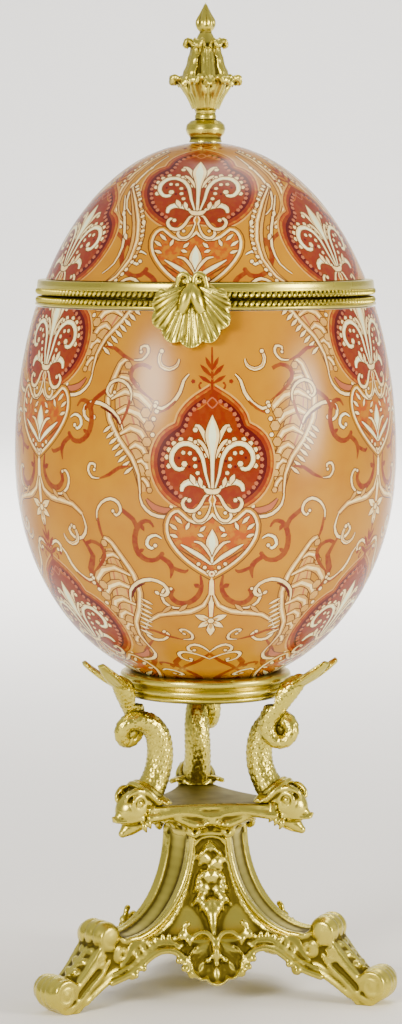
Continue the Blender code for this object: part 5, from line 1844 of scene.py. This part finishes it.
def scale_relief(mesh):
    """Raises overlapping scales on the body, in rows that follow its path."""
    rings = swept_rings(smooth_path(DOLPHIN_PATH, 10))
    tree = kdtree.KDTree(len(rings))
    for index, (centre, *_) in enumerate(rings):
        tree.insert(centre, index)
    tree.balance()
    travelled = [0.0]
    for (here, *_), (ahead, *_) in zip(rings, rings[1:]):
        travelled.append(travelled[-1] + (ahead - here).length)
    length = travelled[-1]

    def shift(point):
        centre, index, _ = tree.find(point)
        _, side, up, radius = rings[index]
        away = point - centre
        on_body = 1.0 - min(1.0, max(0.0, (away.length - radius - 0.6) / 0.8))
        from_end = min(travelled[index] - 8.0, length - travelled[index] - 1.0)
        on_body *= min(1.0, max(0.0, from_end / 3.0))
        if on_body <= 0.0:
            return 0.0
        count = 17 if radius > 4.2 else 12
        angle = math.atan2(away.dot(up), away.dot(side)) / math.tau * count
        row = travelled[index] / SCALE_LENGTH
        best = 0.0
        for number in (math.floor(row), math.floor(row) - 1):
            across = (angle + 0.5 * (number % 2)) % 1.0 - 0.5
            along = row - number
            reach = along / 1.5
            if reach < 1.0 and abs(across) < 0.55 * math.sqrt(max(0.0, 1.0 - reach**4)):
                best = max(best, 0.25 + 0.75 * reach * (1.0 - 1.4 * across * across))
        return on_body * (0.55 * best - 0.2)

    pushed(mesh, shift)


def build_head(casting):
    """Skull, ringed eyes, curled lips, gill collar and the frill below the jaw."""
    x, z = DOLPHIN_HEAD
    skull, s = (x, 0.0, z), HEAD_SIZE
    nod = Matrix.Rotation(math.radians(38), 4, "Y")
    casting.ball((x, 0.0, z), (1.04 * s, 0.8 * s, 0.9 * s), nod, 32)
    jaw = (
        ((0.1, 0.0, -0.05), (0.7, 0.0, -0.3), (1.06, 0.0, -0.46), (1.24, 0.0, -0.36)),
        ((-0.3, 0.0, -0.66), (0.3, 0.0, -1.0), (0.66, 0.0, -1.22)),
    )
    for part, widths in zip(jaw, ((0.6, 0.36, 0.2, 0.09), (0.52, 0.4, 0.22))):
        casting.tube(placed(part, skull, 1, s), [width * s for width in widths])
    for side in (-1, 1):
        eye = Vector((x + 0.1 * s, side * 0.7 * s, z + 0.34 * s))
        casting.ball(eye, (0.2 * s, 0.16 * s, 0.2 * s), segments=16)
        turns = [math.tau * step / 12 for step in range(13)]
        ring = [(0.37 * math.cos(turn), -0.02, 0.35 * math.sin(turn)) for turn in turns]
        casting.tube(placed(ring, eye, side, s), 0.11 * s, 2)
        brow = (
            (-0.62, -0.1, -0.2), (-0.4, -0.04, 0.4), (0.1, -0.1, 0.62), (0.55, -0.24, 0.4),
            (0.66, -0.3, 0.1),
        )
        casting.tube(placed(brow, eye, side, s), [w * s for w in (0.08, 0.15, 0.17, 0.12, 0.09)])
        lip = ((-0.1, 0.66, -0.42), (0.34, 0.52, -0.52), (0.8, 0.3, -0.56), (1.12, 0.12, -0.56))
        casting.tube(placed(lip, skull, side, s), [w * s for w in (0.13, 0.13, 0.11, 0.09)])
        for number in range(3):
            root = (x - (0.15 + 0.28 * number) * s, side * 0.58 * s, z + (0.1 * number - 0.5) * s)
            strand = (
                (0.0, 0.0, 0.0), (0.075, 0.23, 0.03 * number - 0.31),
                (-0.05, 0.26, 0.06 * number - 0.62),
            )
            casting.tube(placed(strand, root, side, s), (0.1 * s, 0.16 * s, 0.05 * s))
        build_fins(casting, side)
    for offset, size in ((0.0, 0.17), (0.24, 0.12)):
        collar_x, collar_z = x - (0.72 + 0.7 * offset) * s, z + (0.52 + 0.72 * offset) * s
        tilt = math.radians(47)
        ring = []
        for step in range(17):
            angle = math.tau * step / 16
            lift = (0.95 - 0.4 * offset) * s * math.cos(angle)
            across = (0.9 - 0.4 * offset) * s * math.sin(angle)
            ring.append(
                (collar_x + lift * math.cos(tilt), across, collar_z + lift * math.sin(tilt))
            )
        casting.tube(ring, size * s, 2)


def build_fins(casting, side):
    """The side fin behind the head, and one lobe of the tail fin, both ribbed."""
    x = DOLPHIN_HEAD[0] - 0.72 * HEAD_SIZE
    z = DOLPHIN_HEAD[1] + 0.52 * HEAD_SIZE

    def breast(u, v):
        spread = 2.8 * math.sin(math.pi * (0.25 + 0.68 * v))
        rib = 0.25 * math.cos(math.tau * 3.0 * u)
        return Vector((x - 1.2 - 2.2 * v + u * spread, side * (3.5 + 7.0 * v), z - 2.2 * v + rib))

    casting.plate(breast, 24, 12, 1.5 * side)
    root = Vector(FIN_ROOT)
    along = Vector(FIN_TIP) - root

    def tail(u, v):
        middle = root + along * v + Vector((0.0, side * (1.2 + 4.3 * v), 0.0))
        spread = 3.3 * math.sin(math.pi * (0.22 + 0.7 * v))
        curl = Vector((-0.42, 0.0, 0.9)) * (2.4 * v * v + 0.25 * math.cos(math.tau * 2.5 * u))
        return middle + curl + Vector((-0.25, 0.93 * side, 0.3)) * u * spread

    casting.plate(tail, 24, 16, 1.7 * side)


def dolphin_mesh():
    """A dolphin in its own frame: head down and outwards, coiled tail up against the ring."""
    casting = Casting()
    path = [point[:3] for point in DOLPHIN_PATH]
    casting.tube(path, [point[3] for point in DOLPHIN_PATH], 8)
    build_head(casting)
    casting.ball(COIL_CENTRE, (2.6, 1.5, 2.6))
    mesh = casting.fused("dolphin", 0.385, 1)
    scale_relief(mesh)
    ring_edge = RING_OUTER + 0.4
    outline = platform_edge_table()
    for vert in mesh.vertices:
        radius = math.hypot(vert.co.x, vert.co.y)
        if RING_LOW - 2.0 < vert.co.z and radius < ring_edge:
            vert.co.x *= ring_edge / radius
            vert.co.y *= ring_edge / radius
        if PLATFORM_TOP - PLATFORM_THICK < vert.co.z < PLATFORM_TOP + AIR_GAP:
            if radius < outline(math.atan2(vert.co.y, vert.co.x)):
                vert.co.z = PLATFORM_TOP + AIR_GAP
    return finished_casting(mesh, 0.35)


def platform_edge_table():
    """Radius of the platform's edge in a direction from a dolphin's own local X."""
    spin = Matrix.Rotation(math.radians(-60.0), 2)
    edge = [spin @ p for p in platform_outline(0.6)]
    table = sorted((math.atan2(p.y, p.x), p.length) for p in edge)
    angles, radii = zip(*table)
    return lambda angle: float(np.interp(angle, angles, radii))


def support_ring_mesh():
    """Moulded ring: rolled lip, groove, bead and lower lip, with a seat for the egg."""
    top, low, outer, inner = RING_TOP, RING_LOW, RING_OUTER, RING_INNER
    profile = [(inner, top - 0.75), (inner + 2.0, top - 0.1)]
    profile += arc((outer - 1.6, top - 1.6), 1.6, 90, -60, 10)
    profile += [(outer - 2.4, top - 3.5), (outer - 2.7, top - 4.1)]
    profile += arc((outer - 2.5, top - 5.6), 1.3, 75, -75, 8)
    profile += [(outer - 2.9, top - 7.2), *arc((outer - 2.9, top - 8.0), 0.7, 80, -80, 5)]
    profile += [(outer - 3.6, low), (inner, low)]

    # Painted shade, with patina, in the groove and under the rolled lip
    def sunk(radius, _):
        return 0.6 * min(1.0, max(0.0, (outer - 2.4 - radius) / 1.4))

    return turned_ring("support_ring_moulding", profile, sunk)


# Operators, one for each piece or group of like pieces


def brass_cast():
    return find_material("cast_brass", lambda: worked_brass("cast_brass", 0.9, 0.5))


def brass_polished():
    return find_material("polished_brass", lambda: worked_brass("polished_brass", 3.0, 0.12))


class EGGBOX_OT_porcelain(bpy.types.Operator):
    """Model both painted halves of the egg"""

    bl_idname = "eggbox.porcelain"
    bl_label = "Painted Egg"

    def execute(self, context):
        materials = [painted_glaze(), white_glaze()]
        paint = context.scene.egg_paint
        lid_edge, bowl_edge = skin_place(LID_EDGE_Z), skin_place(BOWL_EDGE_Z)
        mesh = painted_shell(
            "painted_lid",
            lid_motif(),
            (LID_CAP, lid_edge),
            LID_COLUMNS,
            paint.lid_turn,
            pole_rows(LID_CAP),
            inner_rows(LID_EDGE_Z, EGG_WIDEST_Z + EGG_ABOVE),
        )
        show_piece("painted_lid", mesh, materials, "lid", ["lid_shell"])
        low = SKIN_V[-1] - BOWL_CAP
        mesh = painted_shell(
            "painted_bowl",
            bowl_motif(),
            (bowl_edge, low),
            BOWL_COLUMNS,
            paint.bowl_turn,
            pole_rows(low),
            inner_rows(BOWL_EDGE_Z, EGG_WIDEST_Z - EGG_BELOW),
        )
        show_piece("painted_bowl", mesh, materials, "stand", ["bowl_shell"])
        return {"FINISHED"}


def inner_rows(edge_z, far_z):
    """Profile of the lining from the porcelain's edge to its pole."""
    steps = 9
    scale = (EGG_RADIUS - EGG_WALL) / EGG_RADIUS
    rows = []
    for step in range(steps + 1):
        share = math.sin(math.radians(90.0) * step / steps)
        height = edge_z + (far_z - edge_z) * share
        radius = skin_radius(skin_place(height)) * scale
        wall = EGG_WALL * (1.0 if far_z > edge_z else -1.0)
        rows.append((radius if step < steps else 0.0, height - wall * share))
    return rows


def pole_rows(v):
    """Profile of the skin's last cap, from a place on it to the pole."""
    end = 0.0 if v < 100.0 else float(SKIN_V[-1])
    rows = []
    for share in (0.4, 0.75, 1.0):
        place = v + (end - v) * share
        rows.append((skin_radius(place) if share < 1.0 else 0.0, skin_height(place)))
    return rows


class EGGBOX_OT_rims(bpy.types.Operator):
    """Model the rope rims of the bowl and the lid"""

    bl_idname = "eggbox.rims"
    bl_label = "Rope Rims"

    def execute(self, context):
        brass = [brass_polished()]
        show_piece("bowl_rim_rope", bowl_rim_mesh(), brass, "stand", ["bowl_rim"])
        show_piece("lid_rim_rope", lid_rim_mesh(), brass, "lid", ["lid_rim"])
        return {"FINISHED"}


class EGGBOX_OT_clasp(bpy.types.Operator):
    """Model the scallop-shell clasp"""

    bl_idname = "eggbox.clasp"
    bl_label = "Clasp"

    def execute(self, context):
        show_piece("clasp_scallop", clasp_mesh(), [brass_cast()], "lid", ["clasp_shell"])
        return {"FINISHED"}


class EGGBOX_OT_finial(bpy.types.Operator):
    """Model the acanthus finial"""

    bl_idname = "eggbox.finial"
    bl_label = "Finial"

    def execute(self, context):
        show_piece("finial_acanthus", finial_mesh(), [brass_cast()], "lid", ["finial"])
        return {"FINISHED"}


class EGGBOX_OT_hinge(bpy.types.Operator):
    """Finish the hinge's two leaves and its pin"""

    bl_idname = "eggbox.hinge"
    bl_label = "Hinge"

    def execute(self, context):
        for name in ("hinge_bowl_leaf", "hinge_lid_leaf", "hinge_pin"):
            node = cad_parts[name]
            node.data.materials.clear()
            node.data.materials.append(brass_polished())
        return {"FINISHED"}


class EGGBOX_OT_support_ring(bpy.types.Operator):
    """Model the moulded ring under the egg"""

    bl_idname = "eggbox.support_ring"
    bl_label = "Support Ring"

    def execute(self, context):
        mesh = support_ring_mesh()
        show_piece(
            "support_ring_moulding", mesh, [brass_polished()], "stand", ["support_ring"],
        )
        return {"FINISHED"}


class EGGBOX_OT_dolphins(bpy.types.Operator):
    """Model the three dolphins"""

    bl_idname = "eggbox.dolphins"
    bl_label = "Dolphins"

    def execute(self, context):
        mesh = dolphin_mesh()
        for name, azimuth in zip(("right", "back", "left"), LEG_AZIMUTHS):
            turned = mesh.copy()
            turned.transform(stand_frame(azimuth))
            node = f"dolphin_{name}"
            show_piece(f"{node}_cast", turned, [brass_cast()], "stand", [node])
        return {"FINISHED"}


class EGGBOX_OT_stand(bpy.types.Operator):
    """Model the tripod base: legs, panels and platform"""

    bl_idname = "eggbox.stand"
    bl_label = "Tripod Base"

    def execute(self, context):
        for name, mesh in zip(("stand_legs", "stand_panels", "stand_platform"), stand_meshes()):
            show_piece(name, mesh, [brass_cast()], "stand", ["stand_base"])
        return {"FINISHED"}


class EGGBOX_OT_studio(bpy.types.Operator):
    """Set the backdrop, the soft lights and the camera"""

    bl_idname = "eggbox.studio"
    bl_label = "Studio"

    def execute(self, context):
        sweep_backdrop()
        light_studio(context)
        place_camera(context)
        return {"FINISHED"}


# Camera: its sensor in millimetres, the photograph in pixels, and its shift to the side
SENSOR_HEIGHT = 24.0
PHOTO_HEIGHT = 1024.0
CAMERA_SHIFT = -1.74

# Soft lights: turn from the camera and lift in degrees, reach and size in metres, watts
WARM_WHITE = (1.0, 0.93, 0.8)
WALL_WHITE = (1.0, 0.985, 0.96)
LIGHTS = (
    ("softbox_left", -32.0, 15.0, 1.1, 0.36, 13.0),
    ("softbox_right", 62.0, 8.0, 1.1, 0.4, 13.0),
    ("softbox_top", 150.0, 68.0, 1.5, 0.9, 10.0),
    ("wall_wash", 180.0, 36.0, 2.2, 1.6, 120.0),
)


def sweep_backdrop():
    """Floor that curves up into a wall behind the object."""
    bm = bmesh.new()
    bmesh.ops.create_grid(bm, x_segments=2, y_segments=48, size=1.0)
    flat, bend, wall = 6.0, 1.2, 3.4
    for vert in bm.verts:
        place = (vert.co.y + 1.0) / 2.0 * (flat + bend * math.pi / 2.0 + wall)
        y, z = place, 0.0
        if place > flat + bend * math.pi / 2.0:
            y, z = flat + bend, bend + place - flat - bend * math.pi / 2.0
        elif place > flat:
            turn = (place - flat) / bend
            y, z = flat + bend * math.sin(turn), bend * (1.0 - math.cos(turn))
        vert.co = (vert.co.x * 3.6, y - 2.8, z - 0.0002)
    mesh = mesh_from(bm, "backdrop_sweep")
    mesh.shade_smooth()
    mesh.materials.append(studio_paper())
    sweep = bpy.data.objects.new("backdrop_sweep", mesh)
    bpy.context.scene.collection.objects.link(sweep)


def light_studio(context):
    """Pale surroundings, darker towards the camera, and softboxes that show in the glaze."""
    world = bpy.data.worlds.new("studio_world")
    world.use_nodes = True
    tree = world.node_tree
    background = tree.nodes["Background"]
    place = add_node(tree, "ShaderNodeTexCoord")
    axes = add_node(tree, "ShaderNodeSeparateXYZ", {0: place.outputs["Generated"]})
    level = ranged(tree, axes.outputs["Y"], -1.0, 0.4, 0.27, 0.6)
    high = ranged(tree, axes.outputs["Z"], 0.0, 0.9, 1.0, 1.6)
    strength = add_node(tree, "ShaderNodeMath", {0: level, 1: high}, operation="MULTIPLY")
    tree.links.new(strength.outputs[0], background.inputs["Strength"])
    background.inputs["Color"].default_value = (1.0, 0.99, 0.98, 1.0)
    context.scene.world = world
    base = context.scene.studio.azimuth
    for name, turn, lift, reach, size, power in LIGHTS:
        on_wall = name == "wall_wash"
        light = bpy.data.lights.new(name, "AREA")
        light.shape = "DISK"
        light.size = size
        light.energy = power
        light.color = WALL_WHITE if on_wall else WARM_WHITE
        azimuth, raised = base + math.radians(turn), math.radians(lift)
        level = reach * math.cos(raised)
        offset = Vector(
            (level * math.sin(azimuth), -level * math.cos(azimuth), reach * math.sin(raised))
        )
        lamp = bpy.data.objects.new(name, light)
        lamp.location = Vector((0.0, 0.0, 0.2)) + offset
        aim = Vector((0.0, 0.6, -0.8)) if on_wall else -offset
        lamp.rotation_euler = aim.to_track_quat("-Z", "Y").to_euler()
        context.scene.collection.objects.link(lamp)


def place_camera(context):
    """The photograph's viewpoint."""
    studio = context.scene.studio
    camera = bpy.data.cameras.new("camera")
    camera.sensor_fit = "VERTICAL"
    camera.sensor_height = SENSOR_HEIGHT
    camera.lens = SENSOR_HEIGHT * studio.lens_px / PHOTO_HEIGHT
    camera.clip_start = 0.05
    obj = bpy.data.objects.new("camera", camera)
    turn = Matrix.Rotation(studio.azimuth, 4, "Z")
    tilt = Matrix.Rotation(math.radians(90.0) - studio.pitch, 4, "X")
    spot = Matrix.Translation((CAMERA_SHIFT * MM, -studio.distance, studio.height))
    obj.matrix_world = turn @ spot @ tilt
    context.scene.collection.objects.link(obj)
    context.scene.camera = obj


class EGGBOX_PT_panel(bpy.types.Panel):
    """Colours, finishes and pieces of the egg box"""

    bl_label = "Egg Trinket Box"
    bl_idname = "EGGBOX_PT_panel"
    bl_space_type = "VIEW_3D"
    bl_region_type = "UI"
    bl_category = "Egg Box"

    def draw(self, context):
        layout = self.layout
        for group in (context.scene.egg_paint, context.scene.brass_finish, context.scene.studio):
            box = layout.box()
            for name in group.__annotations__:
                box.prop(group, name)
        for operator in OPERATORS:
            layout.operator(operator.bl_idname)


OPERATORS = (
    EGGBOX_OT_stand,
    EGGBOX_OT_dolphins,
    EGGBOX_OT_support_ring,
    EGGBOX_OT_porcelain,
    EGGBOX_OT_rims,
    EGGBOX_OT_hinge,
    EGGBOX_OT_clasp,
    EGGBOX_OT_finial,
    EGGBOX_OT_studio,
)
CLASSES = (EggPaint, BrassFinish, Studio, *OPERATORS, EGGBOX_PT_panel)


def register():
    for cls in CLASSES:
        bpy.utils.register_class(cls)
    bpy.types.Scene.egg_paint = PointerProperty(type=EggPaint)
    bpy.types.Scene.brass_finish = PointerProperty(type=BrassFinish)
    bpy.types.Scene.studio = PointerProperty(type=Studio)


def unregister():
    del bpy.types.Scene.studio
    del bpy.types.Scene.brass_finish
    del bpy.types.Scene.egg_paint
    for cls in reversed(CLASSES):
        bpy.utils.unregister_class(cls)


def main():
    register()
    bpy.ops.eggbox.stand()
    bpy.ops.eggbox.dolphins()
    bpy.ops.eggbox.support_ring()
    bpy.ops.eggbox.porcelain()
    bpy.ops.eggbox.rims()
    bpy.ops.eggbox.hinge()
    bpy.ops.eggbox.clasp()
    bpy.ops.eggbox.finial()
    bpy.ops.eggbox.studio()


if __name__ == "__main__":
    main()
